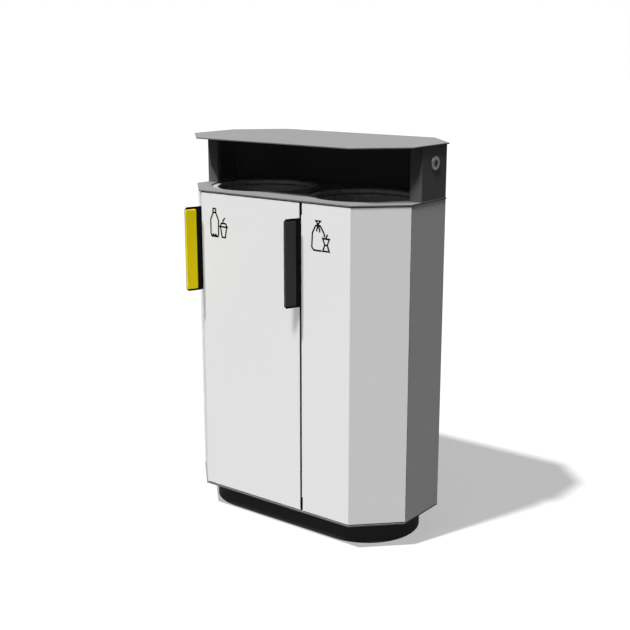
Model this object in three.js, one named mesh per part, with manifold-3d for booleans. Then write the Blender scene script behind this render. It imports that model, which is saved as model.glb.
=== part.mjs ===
// Double recycling bin: a folded steel cabinet on an oblong plinth, with two doors, a deck
// with two round throw-in holes, a hood open at the front, a flat roof and two round liners.
// Millimetres, +Z up, the doors face -Y, and the origin is under the middle of the plinth.

import * as THREE from 'three';
import { mergeVertices } from 'three/addons/utils/BufferGeometryUtils.js';
import Module from 'manifold-3d';

const wasm = await Module();
wasm.setup();

// ---- Driving dimensions ------------------------------------------------------------------

// Cabinet outline: an oblong with four equal corners cut off at 45 degrees.
const BODY_WIDTH = 800;
const BODY_DEPTH = 420;
const BODY_CHAMFER = 120;
const SHEET = 2; // body, doors and hood
const PLATE = 4; // floor plate, deck and roof
const SEAT = 0.3; // between pieces that touch
const FOLD = 15; // inward flanges that stiffen the shells

// Heights, from the ground up.
const PLINTH_HEIGHT = 74.2;
const DOOR_HEIGHT = 931.5;
const DOOR_GAP_BELOW = 3.5;
const DOOR_GAP_ABOVE = 2;
const HOOD_HEIGHT = 151.9;

// Plinth: two half rounds joined by straight walls.
const PLINTH_LENGTH = 726;
const PLINTH_WIDTH = 332;
const PLINTH_SHEET = 3;
const PLINTH_RING = 24; // width of the ring inside the band's top, which the floor plate sits on
const WINDOW_LENGTH = 180; // two windows in the bottom plate let water out
const WINDOW_WIDTH = 110;
const WINDOW_SPACING = 270;
const ANCHOR_HOLE = 14;
const ANCHOR_SPACING_X = 480;
const ANCHOR_SPACING_Y = 180;
const ACCESS_HOLE = 34; // in the floor plate, over each anchor hole
const DRAIN_HOLE = 20;

// Overhangs beyond the body's outline.
const DECK_OVERHANG = 2;
const ROOF_OVERHANG = 6;

// Throw-in holes, their rings and the liners under them.
const DIVIDER_X = -12; // middle plane between the two liners
const RING_SIDE_GAP = 11; // from the right ring to the lock cover
const RING_MIDDLE_GAP = 18; // from either ring to the middle plane
const RING_FRONT_GAP = 43; // from the rings to the doors' outer face
const RING_BACK_GAP = 33; // from the rings to the body's back
const RING_LAP = 6; // of the ring's flange beyond the hole
const RING_STEP = 18; // from the hole's edge in to the ring's collar
const RING_SHEET = 1.5;
const RING_DEPTH = 11;
const COLLAR_CLEARANCE = 0.5; // from the ring's collar to the liner
const LINER_SHEET = 1.2;
const LINER_DROP = 15; // from the deck's underside to the liner's rim
const BEAD_RADIUS = 2.8;
const SWAGE_DEPTH = 2.5;
const SWAGE_WIDTH = 14;
const GRIP_LENGTH = 96;
const GRIP_HEIGHT = 30;
const GRIP_DROP = 62;

// Doors. The seam between them stands right of the middle.
const SEAM_LEFT = 102.2;
const SEAM_GAP = 6.8;
const CORNER_GAP = 6; // from the body's left front corner to the left door
const FLANK_RECESS = 4.5; // of the body's left front flank, behind the handle
const FLANK_GAP = 5; // from that flank's front end to the left door
const DOOR_RETURN = 18;
const JAMB_GAP = 2.8;
const JAMB_RETURN = 14;
const RELIEF_WIDTH = 2.7; // where the right door's return stops short
const RELIEF_TOP = 35;
const RELIEF_BOTTOM = 43;
const STIFFENER_WIDTH = 46;
const STIFFENER_DEPTH = 14;
const STIFFENER_SHEET = 1.5;
const STIFFENER_INSET = 45;

// Door pivots: studs welded to the floor plate and under the deck, in flanged bushes.
const PIVOT_DEPTH = 9; // behind the door's outer face
const LEFT_PIVOT_INSET = 36.2;
const RIGHT_PIVOT_INSET = 26;
const STUD_RADIUS = 4;
const STUD_REACH = 13;
const STUD_COLLAR_RADIUS = 8;
const BUSH_CLEARANCE = 0.1;
const BUSH_WALL = 1.9;
const BUSH_FLANGE_RADIUS = 6.7;
const BUSH_FLANGE = 1.4;

// Handles: a folded plate that leaves the door's left edge and leans 21 degrees outward.
const HANDLE_TOP = 970.4;
const HANDLE_HEIGHT = 257.6;
const HANDLE_SHEET = 2.5;
const HANDLE_STANDOFF = 2.8; // of the plate from the door's edge
const HANDLE_STUB = 11;
const HANDLE_REACH = 45.4;
const HANDLE_LEAN = THREE.MathUtils.degToRad(21.4);
const HANDLE_LEG = 25;
const HANDLE_BEVEL = 6.4;
const INSERT_WIDTH = 35.3;
const INSERT_THICKNESS = 6.2;
const INSERT_MARGIN = 7;
const INSERT_ROUND = 4;
const INSERT_EDGE = 1;
const HANDLE_BOLT_RADIUS = 2.5;
const HANDLE_BOLT_HEAD = 4.6;
const HANDLE_BOLT_NUT = 4.6;
const HANDLE_BOLT_MARGIN = 45;
const BOLT_CLEARANCE = 0.35;

// Hood: back, two cheeks and their front returns.
const HOOD_DEPTH = 250; // from the body's back to the cheeks' front
const HOOD_RETURN = 39;
const HOOD_LIP = 15;
const COVER_SHEET = 1.5;
const COVER_CLEARANCE = 5; // from the hood's flanges to the cover's back

// Lock in the right cheek, its cam, and the rod and bar that it lowers behind the doors.
const LOCK_INSET = 43.5; // from the cover's back to the lock's axis
const LOCK_HEIGHT = 103.5; // above the deck
const ROSETTE_RADIUS = 20.5;
const ROSETTE_THICKNESS = 3.7;
const BARREL_RADIUS = 10.2;
const BARREL_WALL = 1.9;
const BARREL_LENGTH = 25;
const BARREL_NUT_RADIUS = 15;
const BARREL_NUT_THICKNESS = 5.5;
const PLUG_RECESS = 6;
const PLUG_CLEARANCE = 0.3;
const KEYWAY_WIDTH = 2.4;
const KEYWAY_DEPTH = 9;
const CAM_SHEET = 3;
const CAM_RADIUS = 12;
const CAM_PIN_RADIUS = 3;
const CAM_START = THREE.MathUtils.degToRad(45); // the pin's angle above level when unlocked
const PIN_CLEARANCE = 0.75;
const ROD_WIDTH = 14;
const ROD_SHEET = 3;
const YOKE_HEIGHT = 17;
const YOKE_MARGIN = 4;
const BAR_THICKNESS = 4;
const BAR_HEIGHT = 20;
const BAR_DROP = 7.5; // from the deck's underside to the bar
const BAR_SETBACK = 38; // of the bar's middle line from the doors' outer face
const BAR_JOG = 15; // where it passes behind the left door's pivot
const BAR_OVERRUN = 12; // of the bar beyond the left front corner
const FINGER_WIDTH = 20;
const FINGER_LENGTH = 18;
const LATCH_GUIDE_WIDTH = 16;
const LATCH_GUIDE_SHEET = 2.5;
const LATCH_GUIDE_LENGTH = 50;
const GUIDE_CLEARANCE = 0.5;
const LOCK_TRAVEL = 2 * CAM_RADIUS * Math.sin(CAM_START);

// Door catches, which the bar's fingers drop behind.
const CATCH_WIDTH = 26;
const CATCH_SHEET = 2.5;
const CATCH_INSET = 27; // from the door's left edge to the catch's middle
const CATCH_PLAY = 4;
const CATCH_LIP = 24;
const CATCH_CLEAR = 5;
const CATCH_FOOT = 16;

// Column and divider between the liners, door buffers and floor bolts.
const COLUMN_SIZE = 30;
const COLUMN_SHEET = 2;
const COLUMN_SETBACK = 60; // of the column's middle from the doors' outer face
const DIVIDER_SHEET = 2;
const DIVIDER_DROP = 14;
const BUFFER_SIZE = 14;
const BUFFER_INSET = 40;
const FLOOR_BOLT_RADIUS = 4;
const FLOOR_BOLT_HEAD = 7.5;
const FLOOR_BOLT_HEAD_HEIGHT = 4.5;
const FLOOR_BOLT_SPREAD = 50; // either side of the column, between the liners

// ---- Derived places ----------------------------------------------------------------------

const halfWidth = BODY_WIDTH / 2;
const halfDepth = BODY_DEPTH / 2;
const flankFront = -halfDepth + BODY_CHAMFER;
const frontCorner = halfWidth - BODY_CHAMFER;
const diagonal = Math.SQRT1_2;

const floorBottom = PLINTH_HEIGHT + SEAT;
const floorTop = floorBottom + PLATE;
const doorBottom = floorTop + DOOR_GAP_BELOW;
const doorTop = doorBottom + DOOR_HEIGHT;
const deckBottom = doorTop + DOOR_GAP_ABOVE;
const deckTop = deckBottom + PLATE;
const hoodBottom = deckTop + SEAT;
const hoodTop = hoodBottom + HOOD_HEIGHT;
const roofBottom = hoodTop + SEAT;
const roofTop = roofBottom + PLATE;
const shellBottom = floorTop + SEAT;
const shellTop = deckBottom - SEAT;

const leftDoorEdge = -frontCorner + CORNER_GAP;
const rightDoorEdge = SEAM_LEFT + SEAM_GAP;
const doorBack = -halfDepth + DOOR_RETURN;
const leftPivot = new THREE.Vector2(SEAM_LEFT - LEFT_PIVOT_INSET, -halfDepth + PIVOT_DEPTH);
const rightPivot = new THREE.Vector2(
  halfWidth - (RIGHT_PIVOT_INSET + PIVOT_DEPTH) * diagonal,
  flankFront - (RIGHT_PIVOT_INSET - PIVOT_DEPTH) * diagonal,
);
const handleBottom = HANDLE_TOP - HANDLE_HEIGHT;

const bayWidth = halfWidth - HOOD_RETURN - RING_SIDE_GAP - DIVIDER_X - RING_MIDDLE_GAP;
const bayDepth = BODY_DEPTH - RING_FRONT_GAP - RING_BACK_GAP;
const ringOuter = Math.min(bayWidth, bayDepth) / 2;
const holeRadius = ringOuter - RING_LAP;
const collarInner = holeRadius - RING_STEP;
const linerRadius = collarInner + RING_SHEET + COLLAR_CLEARANCE + LINER_SHEET;
const rightHoleX = DIVIDER_X + RING_MIDDLE_GAP + bayWidth / 2;
const leftHoleX = 2 * DIVIDER_X - rightHoleX;
const holeY = -halfDepth + RING_FRONT_GAP + bayDepth / 2;

const columnY = -halfDepth + COLUMN_SETBACK;
const barLine = -halfDepth + BAR_SETBACK;
const barLeftEnd = -frontCorner - BAR_OVERRUN;
const hoodFront = halfDepth - HOOD_DEPTH;
const coverBack = -flankFront - FOLD - COVER_CLEARANCE;
const lockY = coverBack - LOCK_INSET;

const lockZ = deckTop + LOCK_HEIGHT;
const plugRadius = BARREL_RADIUS - BARREL_WALL - PLUG_CLEARANCE;
const barrelFront = halfWidth + SEAT + ROSETTE_THICKNESS / 2;
const barrelBack = barrelFront - BARREL_LENGTH;
const camFront = barrelBack - SEAT;
const rodFront = camFront - CAM_SHEET - SEAT;
const rodBack = rodFront - ROD_SHEET;
const pinY = lockY + CAM_RADIUS * Math.cos(CAM_START);
const pinZ = lockZ + CAM_RADIUS * Math.sin(CAM_START);
const pinReachY = lockY + CAM_RADIUS;
const rodY = (pinY + pinReachY) / 2;
const barTop = deckBottom - BAR_DROP;
const barBottom = barTop - BAR_HEIGHT;
const barX = rodFront + SEAT + BAR_THICKNESS / 2;
const fingerBottom = barBottom - FINGER_LENGTH;
const catchTop = fingerBottom - CATCH_CLEAR;
const leftCatchX = leftDoorEdge + CATCH_INSET;
const rightCatchX = rightDoorEdge + CATCH_INSET;

// ---- Finishes ----------------------------------------------------------------------------

function finish(color, roughness, metalness) {
  return () => new THREE.MeshStandardMaterial({ color, roughness, metalness });
}

const paleCoat = finish(0xe0e0e0, 0.55, 0.1);
const darkCoat = finish(0x3a3b3d, 0.6, 0.2);
const galvanised = finish(0xb4b8ba, 0.45, 0.8);
const zinc = finish(0xa6a9ab, 0.4, 0.9);
const yellowPlastic = finish(0xceb900, 0.45, 0);
const blackPlastic = finish(0x2e2e2e, 0.5, 0);
const nylon = finish(0x20211f, 0.5, 0);
const rubber = finish(0x181818, 0.85, 0);
const steel = finish(0x8a8c8e, 0.35, 1);
const brass = finish(0xb08a3c, 0.35, 1);

// ---- Shape helpers -----------------------------------------------------------------------

const point = (x, y) => new THREE.Vector2(x, y);

/** Signed volume of a closed triangle mesh, positive when its faces point out. */
function signedVolume(geometry) {
  const position = geometry.getAttribute('position');
  const corners = [new THREE.Vector3(), new THREE.Vector3(), new THREE.Vector3()];
  let volume = 0;
  for (let i = 0; i < geometry.index.count; i += 3) {
    corners.forEach((corner, k) => corner.fromBufferAttribute(position, geometry.index.getX(i + k)));
    volume += corners[0].dot(corners[1].clone().cross(corners[2])) / 6;
  }
  return volume;
}

/** Shares the vertices of a geometry and turns its faces outward. */
function weld(geometry) {
  geometry.deleteAttribute('normal');
  geometry.deleteAttribute('uv');
  const welded = mergeVertices(geometry);
  if (signedVolume(welded) < 0) {
    const index = welded.index;
    for (let i = 0; i < index.count; i += 3) {
      const first = index.getX(i);
      index.setX(i, index.getX(i + 1));
      index.setX(i + 1, first);
    }
  }
  return welded;
}

function toSolid(geometry) {
  const welded = weld(geometry.clone());
  return new wasm.Manifold(new wasm.Mesh({
    numProp: 3,
    vertProperties: new Float32Array(welded.getAttribute('position').array),
    triVerts: new Uint32Array(welded.index.array),
  }));
}

function toGeometry(solid) {
  const mesh = solid.getMesh();
  const geometry = new THREE.BufferGeometry();
  geometry.setAttribute('position', new THREE.BufferAttribute(mesh.vertProperties, 3));
  geometry.setIndex(new THREE.BufferAttribute(mesh.triVerts, 1));
  return geometry;
}

/** Joins the geometries of one list and cuts those of another out of them. */
function carve(kept, removed = []) {
  let solid = toSolid(kept[0]);
  for (const geometry of kept.slice(1)) solid = solid.add(toSolid(geometry));
  for (const geometry of removed) solid = solid.subtract(toSolid(geometry));
  return toGeometry(solid);
}

/** A flat outline, with round or other holes, raised from z0 to z1. */
function prism(outline, z0, z1, holes = [], curveSegments = 6) {
  const shape = outline instanceof THREE.Shape ? outline : new THREE.Shape(outline);
  shape.holes.push(...holes);
  const geometry = new THREE.ExtrudeGeometry(shape, {
    depth: z1 - z0,
    bevelEnabled: false,
    curveSegments,
  });
  return geometry.translate(0, 0, z0);
}

function block(x0, x1, y0, y1, z0, z1) {
  const geometry = new THREE.BoxGeometry(x1 - x0, y1 - y0, z1 - z0);
  return geometry.translate((x0 + x1) / 2, (y0 + y1) / 2, (z0 + z1) / 2);
}

/** A round bar or hole along Z. */
function rod(radius, z0, z1, x = 0, y = 0, sides = 20) {
  const geometry = new THREE.CylinderGeometry(radius, radius, z1 - z0, sides);
  return geometry.rotateX(Math.PI / 2).translate(x, y, (z0 + z1) / 2);
}

function circle(radius, x = 0, y = 0) {
  return new THREE.Path().absarc(x, y, radius, 0, 2 * Math.PI);
}

/** A body of revolution about Z from a closed profile of [radius, height] pairs. */
function turned(profile, sides = 20) {
  const points = profile.map(([radius, height]) => point(radius, height));
  if (profile.every(([radius]) => radius > 0)) points.push(points[0].clone());
  return new THREE.LatheGeometry(points, sides).rotateX(Math.PI / 2);
}

/** Lays a Z-built geometry down so that it runs along X, with its X as Y and its Y as Z. */
function alongX(geometry) {
  const basis = new THREE.Matrix4().makeBasis(
    new THREE.Vector3(0, 1, 0),
    new THREE.Vector3(0, 0, 1),
    new THREE.Vector3(1, 0, 0),
  );
  return geometry.applyMatrix4(basis);
}

/** An oblong with half-round ends, as an outline or, reversed, as a hole. */
function stadium(Kind, length, width, x = 0, y = 0) {
  const radius = width / 2;
  const reach = length / 2 - radius;
  const path = new Kind();
  path.absarc(x + reach, y, radius, -Math.PI / 2, Math.PI / 2);
  path.absarc(x - reach, y, radius, Math.PI / 2, 1.5 * Math.PI);
  path.closePath();
  return path;
}

/** The body's eight-cornered outline, grown by an overhang. */
function octagon(overhang) {
  const x = halfWidth + overhang;
  const y = halfDepth + overhang;
  const cut = BODY_CHAMFER + overhang * (2 - Math.SQRT2);
  return [
    point(-x + cut, -y), point(x - cut, -y), point(x, -y + cut), point(x, y - cut),
    point(x - cut, y), point(-x + cut, y), point(-x, y - cut), point(-x, -y + cut),
  ];
}

/**
 * Outline of a folded sheet. The path is its outer line, followed clockwise round the
 * cabinet seen from above, and the sheet's thickness lies to the right of it, inside.
 */
function folded(path, thickness) {
  const inner = path.map((corner, i) => {
    const before = path[Math.max(i - 1, 0)];
    const after = path[Math.min(i + 1, path.length - 1)];
    const arrive = (i > 0 ? corner.clone().sub(before) : after.clone().sub(corner)).normalize();
    const leave = (i < path.length - 1 ? after.clone().sub(corner) : arrive.clone()).normalize();
    const arriveSide = point(arrive.y, -arrive.x);
    const leaveSide = point(leave.y, -leave.x);
    const mitre = arriveSide.add(leaveSide).normalize();
    return corner.clone().addScaledVector(mitre, thickness / mitre.dot(leaveSide));
  });
  return [...path, ...inner.reverse()];
}

/** A named mesh of one piece. */
function piece(name, geometry, material, x = 0, y = 0, z = 0) {
  const mesh = new THREE.Mesh(weld(geometry), material());
  mesh.name = name;
  mesh.position.set(x, y, z);
  return mesh;
}

// ---- Plinth, floor and cabinet -----------------------------------------------------------

/** A layer of the plinth, inset from its outer face. */
function plinthLayer(inset, z0, z1, holes, curveSegments = 10) {
  const outline = stadium(THREE.Shape, PLINTH_LENGTH - 2 * inset, PLINTH_WIDTH - 2 * inset);
  return prism(outline, z0, z1, holes, curveSegments);
}

/** The plinth's band, with a ring and a bottom plate welded in. */
function plinth() {
  const inset = PLINTH_SHEET + SEAT;
  const mouthInset = 2 * (PLINTH_SHEET + PLINTH_RING);
  const boltHole = FLOOR_BOLT_RADIUS + BOLT_CLEARANCE;
  const mouth = stadium(THREE.Path, PLINTH_LENGTH - mouthInset, PLINTH_WIDTH - mouthInset);
  const windows = [-1, 1].map((side) => (
    stadium(THREE.Path, WINDOW_LENGTH, WINDOW_WIDTH, (side * WINDOW_SPACING) / 2)
  ));
  const boltHoles = floorBoltPlaces().map(([x, y]) => circle(boltHole, x, y));
  const anchorHoles = anchorPlaces().map(([x, y]) => circle(ANCHOR_HOLE / 2, x, y));
  const band = carve(
    [plinthLayer(0, 0, PLINTH_HEIGHT, [], 14)],
    [plinthLayer(PLINTH_SHEET, -PLINTH_SHEET, PLINTH_HEIGHT + PLINTH_SHEET, [])],
  );
  const top = plinthLayer(inset, PLINTH_HEIGHT - PLINTH_SHEET, PLINTH_HEIGHT, [mouth, ...boltHoles]);
  const bottom = plinthLayer(inset, 0, PLINTH_SHEET, [...windows, ...anchorHoles]);
  return [
    piece('plinth', band, darkCoat),
    piece('plinth_top', top, darkCoat),
    piece('plinth_bottom', bottom, darkCoat),
  ];
}

/** Middles of the holes for ground anchors in the plinth's bottom. */
function anchorPlaces() {
  const x = ANCHOR_SPACING_X / 2;
  const y = ANCHOR_SPACING_Y / 2;
  return [[-x, -y], [x, -y], [-x, y], [x, y]];
}

/** Middles of the bolts that hold the floor plate down on the plinth's ring. */
function floorBoltPlaces() {
  const y = PLINTH_WIDTH / 2 - PLINTH_SHEET - PLINTH_RING / 2;
  const left = DIVIDER_X - FLOOR_BOLT_SPREAD;
  const right = DIVIDER_X + FLOOR_BOLT_SPREAD;
  return [[left, -y], [right, -y], [left, y], [right, y]];
}

function floorPlate() {
  const holes = [leftHoleX, rightHoleX].map((x) => circle(DRAIN_HOLE / 2, x, holeY));
  for (const [x, y] of floorBoltPlaces()) {
    holes.push(circle(FLOOR_BOLT_RADIUS + BOLT_CLEARANCE, x, y));
  }
  for (const [x, y] of anchorPlaces()) holes.push(circle(ACCESS_HOLE / 2, x, y));
  return piece('floor_plate', prism(octagon(0), floorBottom, floorTop, holes), darkCoat);
}

/** A bolt with its head on the floor plate and its nut fused on under the plinth's ring. */
function floorBolts() {
  const nutTop = PLINTH_HEIGHT - PLINTH_SHEET - SEAT;
  const headBottom = floorTop + SEAT;
  return floorBoltPlaces().map(([x, y], i) => {
    const geometry = carve([
      rod(FLOOR_BOLT_RADIUS, nutTop - FLOOR_BOLT_HEAD_HEIGHT, headBottom + SEAT, 0, 0, 12),
      rod(FLOOR_BOLT_HEAD, headBottom, headBottom + FLOOR_BOLT_HEAD_HEIGHT, 0, 0, 6),
      rod(FLOOR_BOLT_HEAD, nutTop - FLOOR_BOLT_HEAD_HEIGHT, nutTop, 0, 0, 6),
    ]);
    return piece(`floor_bolt_${i + 1}`, geometry, zinc, x, y);
  });
}

/** Ends of the recessed left flank, and the point where its line would meet the left side. */
function flankPoints() {
  const shift = FLANK_RECESS / diagonal;
  const sum = flankFront - halfWidth + shift;
  const frontX = leftDoorEdge - FLANK_GAP;
  const rear = point(-halfWidth + shift / 2, flankFront + shift / 2);
  return { front: point(frontX, sum - frontX), rear, side: point(-halfWidth, sum + halfWidth) };
}

/** Outer line of the body's one folded sheet, from the left flank to the right jamb. */
function bodyPath() {
  const { front, rear } = flankPoints();
  const jamb = point(halfWidth, flankFront + JAMB_GAP);
  return [
    point(front.x, front.y + JAMB_RETURN),
    front,
    rear,
    point(-halfWidth, flankFront),
    point(-halfWidth, -flankFront),
    point(-frontCorner, halfDepth),
    point(frontCorner, halfDepth),
    point(halfWidth, -flankFront),
    jamb,
    jamb.clone().add(point(-JAMB_RETURN * diagonal, JAMB_RETURN * diagonal)),
  ];
}

function bodyShell() {
  const path = bodyPath();
  const { front, rear, side } = flankPoints();
  const flangeStart = front.clone().lerp(rear, 0.3);
  const flangeEnd = point(halfWidth, flankFront + 2 * JAMB_RETURN);
  const flange = folded([flangeStart, side, ...path.slice(4, 8), flangeEnd], FOLD);
  const slotLeft = leftDoorEdge + handleBend().x - HANDLE_SHEET - SHEET;
  const slot = block(
    slotLeft, leftDoorEdge, -halfDepth - SHEET, -halfDepth + HANDLE_LEG,
    handleBottom - 2 * SHEET, HANDLE_TOP + 2 * SHEET,
  );
  const kept = [
    prism(folded(path, SHEET), shellBottom, shellTop),
    prism(flange, shellBottom, shellBottom + SHEET),
    prism(flange, shellTop - SHEET, shellTop),
  ];
  return piece('body_shell', carve(kept, [slot]), paleCoat);
}

function centreColumn() {
  const half = COLUMN_SIZE / 2;
  const square = (s) => [point(-s, -s), point(s, -s), point(s, s), point(-s, s)];
  const hollow = new THREE.Path(square(half - COLUMN_SHEET).reverse());
  const geometry = prism(square(half), shellBottom, shellTop, [hollow]);
  return piece('centre_column', geometry, zinc, DIVIDER_X, columnY);
}

function dividerPanel() {
  const front = columnY + COLUMN_SIZE / 2 + SEAT;
  const back = halfDepth - SHEET - SEAT;
  const half = DIVIDER_SHEET / 2;
  const clear = FOLD; // the panel's corners clear the body's flanges
  const outline = [
    point(front, shellBottom), point(back - clear, shellBottom),
    point(back - clear, shellBottom + clear), point(back, shellBottom + clear),
    point(back, shellTop - DIVIDER_DROP), point(front, shellTop - DIVIDER_DROP),
  ];
  return piece('divider_panel', alongX(prism(outline, -half, half)), galvanised, DIVIDER_X);
}

// ---- Deck, rings and liners --------------------------------------------------------------

function deckPlate() {
  const slot = [
    point(rodBack - 2 * SHEET, rodY - ROD_WIDTH), point(barX, rodY - ROD_WIDTH),
    point(barX, rodY + ROD_WIDTH), point(rodBack - 2 * SHEET, rodY + ROD_WIDTH),
  ];
  const holes = [
    circle(holeRadius, leftHoleX, holeY),
    circle(holeRadius, rightHoleX, holeY),
  ];
  holes.push(new THREE.Path(slot));
  const geometry = prism(octagon(DECK_OVERHANG), deckBottom, deckTop, holes, 32);
  return piece('deck_plate', geometry, darkCoat);
}

/** A ring under a hole of the deck, with a short collar that leads into the liner. */
function throatRing(name, x) {
  const profile = [
    [collarInner, -RING_DEPTH], [collarInner + RING_SHEET, -RING_DEPTH],
    [collarInner + RING_SHEET, -RING_SHEET], [ringOuter, -RING_SHEET],
    [ringOuter, 0], [collarInner, 0],
  ];
  return piece(name, turned(profile, 48), galvanised, x, holeY, deckBottom - SEAT);
}

/** A sheet-metal liner with a rolled rim, two swaged rings and two grip holes. */
function liner(name, x) {
  const inner = linerRadius - LINER_SHEET;
  const bottom = floorTop + SEAT;
  const top = deckBottom - LINER_DROP;
  const swages = [bottom + (top - bottom) * 0.25, bottom + (top - bottom) * 0.8];
  const outside = [];
  const inside = [];
  for (const z of swages) {
    for (const [radius, side] of [[linerRadius, outside], [inner, inside]]) {
      side.push([radius, z - SWAGE_WIDTH / 2], [radius - SWAGE_DEPTH, z], [radius, z + SWAGE_WIDTH / 2]);
    }
  }
  const bead = [];
  for (let i = 0; i <= 4; i += 1) {
    const angle = -Math.PI / 2 + (Math.PI * i) / 4;
    const radius = linerRadius + BEAD_RADIUS * Math.cos(angle);
    bead.push([radius, top - BEAD_RADIUS + BEAD_RADIUS * Math.sin(angle)]);
  }
  const profile = [
    [0, bottom], [linerRadius, bottom], ...outside, ...bead, [inner, top],
    ...inside.reverse(), [inner, bottom + LINER_SHEET], [0, bottom + LINER_SHEET],
  ];
  const grip = stadium(THREE.Shape, GRIP_LENGTH, GRIP_HEIGHT, 0, top - GRIP_DROP);
  const reach = linerRadius + BEAD_RADIUS;
  const geometry = carve([turned(profile, 36)], [alongX(prism(grip, -reach, reach))]);
  return piece(name, geometry, galvanised, x, holeY);
}

// ---- Hood, roof and lock -----------------------------------------------------------------

/** Outer line of the hood, from the left return's lip round the back to the right one. */
function hoodPath() {
  const mouth = halfWidth - HOOD_RETURN;
  return [
    point(-mouth, hoodFront + HOOD_LIP),
    point(-mouth, hoodFront),
    point(-halfWidth, hoodFront),
    point(-halfWidth, -flankFront),
    point(-frontCorner, halfDepth),
    point(frontCorner, halfDepth),
    point(halfWidth, -flankFront),
    point(halfWidth, hoodFront),
    point(mouth, hoodFront),
    point(mouth, hoodFront + HOOD_LIP),
  ];
}

function hoodShell() {
  const path = hoodPath();
  const flange = folded(
    [point(-halfWidth, coverBack + FOLD), ...path.slice(3, 7), point(halfWidth, coverBack + FOLD)],
    FOLD,
  );
  const kept = [
    prism(folded(path, SHEET), hoodBottom, hoodTop),
    prism(flange, hoodBottom, hoodBottom + SHEET),
    prism(flange, hoodTop - SHEET, hoodTop),
  ];
  const lockHole = alongX(rod(BARREL_RADIUS + PLUG_CLEARANCE, halfWidth - 2 * SHEET, halfWidth + SHEET));
  lockHole.translate(0, lockY, lockZ);
  return piece('hood_shell', carve(kept, [lockHole]), darkCoat);
}

function roofPlate() {
  return piece('roof_plate', prism(octagon(ROOF_OVERHANG), roofBottom, roofTop), darkCoat);
}

/** Closes the right cheek behind its return, round the lock, its cam and the rod. */
function lockCover() {
  const x = halfWidth - HOOD_RETURN;
  const path = [
    point(x, hoodFront + HOOD_LIP + SEAT),
    point(x, coverBack),
    point(halfWidth - SHEET - SEAT, coverBack),
  ];
  const geometry = prism(folded(path, COVER_SHEET), hoodBottom + SEAT, hoodTop - SEAT);
  return piece('lock_cover', geometry, darkCoat);
}

function lockRosette() {
  const hole = BARREL_RADIUS + PLUG_CLEARANCE;
  const profile = [
    [hole, 0], [ROSETTE_RADIUS, 0], [ROSETTE_RADIUS, ROSETTE_THICKNESS * 0.35],
    [ROSETTE_RADIUS - 1, ROSETTE_THICKNESS * 0.8], [ROSETTE_RADIUS - 3, ROSETTE_THICKNESS],
    [hole + 1, ROSETTE_THICKNESS], [hole, ROSETTE_THICKNESS - 1],
  ];
  return piece('lock_rosette', alongX(turned(profile, 32)), steel, halfWidth + SEAT, lockY, lockZ);
}

function lockBarrel() {
  const inner = BARREL_RADIUS - BARREL_WALL;
  const profile = [
    [inner, 0], [BARREL_RADIUS, 0], [BARREL_RADIUS, BARREL_LENGTH - 1],
    [BARREL_RADIUS - 1, BARREL_LENGTH], [inner, BARREL_LENGTH],
  ];
  return piece('lock_barrel', alongX(turned(profile)), steel, barrelBack, lockY, lockZ);
}

function lockNut() {
  const hole = circle(BARREL_RADIUS + PLUG_CLEARANCE);
  const corners = [];
  for (let i = 0; i < 6; i += 1) {
    const angle = (Math.PI * i) / 3;
    corners.push(point(BARREL_NUT_RADIUS * Math.cos(angle), BARREL_NUT_RADIUS * Math.sin(angle)));
  }
  const geometry = alongX(prism(corners, -BARREL_NUT_THICKNESS, 0, [hole], 14));
  return piece('lock_nut', geometry, zinc, halfWidth - SHEET - SEAT, lockY, lockZ);
}

/** The plug turns in the barrel; its keyway opens at the outer face. */
function lockPlug() {
  const length = BARREL_LENGTH - PLUG_RECESS;
  const keyway = block(
    -KEYWAY_WIDTH / 2, KEYWAY_WIDTH / 2, -plugRadius * 0.6, plugRadius * 0.6,
    length - KEYWAY_DEPTH, length + KEYWAY_DEPTH,
  );
  const geometry = alongX(carve([rod(plugRadius, 0, length)], [keyway]));
  return piece('lock_plug', geometry, brass, barrelBack, lockY, lockZ);
}

/** The cam's arm points at its pin, which reaches into the rod's yoke. */
function lockCam() {
  const arm = stadium(THREE.Shape, CAM_RADIUS + 2 * plugRadius, 2 * plugRadius, CAM_RADIUS / 2);
  const pin = rod(CAM_PIN_RADIUS, -SEAT - ROD_SHEET, CAM_SHEET / 2, CAM_RADIUS);
  const geometry = carve([prism(arm, 0, CAM_SHEET), pin]).rotateZ(CAM_START);
  return piece('lock_cam', alongX(geometry), zinc, camFront - CAM_SHEET, lockY, lockZ);
}

/** The flat rod that the cam lowers; its yoke's slot lets the pin swing forward and back. */
function lockRod() {
  const slotFront = pinY - CAM_PIN_RADIUS - PIN_CLEARANCE;
  const slotBack = pinReachY + CAM_PIN_RADIUS + PIN_CLEARANCE;
  const slotHeight = 2 * (CAM_PIN_RADIUS + PIN_CLEARANCE);
  const slotMiddle = (slotFront + slotBack) / 2;
  const slot = stadium(THREE.Shape, slotBack - slotFront, slotHeight, slotMiddle, pinZ);
  const yoke = block(
    0, ROD_SHEET, slotFront - YOKE_MARGIN, slotBack + YOKE_MARGIN,
    pinZ - YOKE_HEIGHT / 2, pinZ + YOKE_HEIGHT / 2,
  );
  const stem = block(0, ROD_SHEET, rodY - ROD_WIDTH / 2, rodY + ROD_WIDTH / 2, barBottom, pinZ);
  const geometry = carve([yoke, stem], [alongX(prism(slot, -ROD_SHEET, 2 * ROD_SHEET))]);
  return piece('lock_rod', geometry, zinc, rodBack);
}

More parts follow.
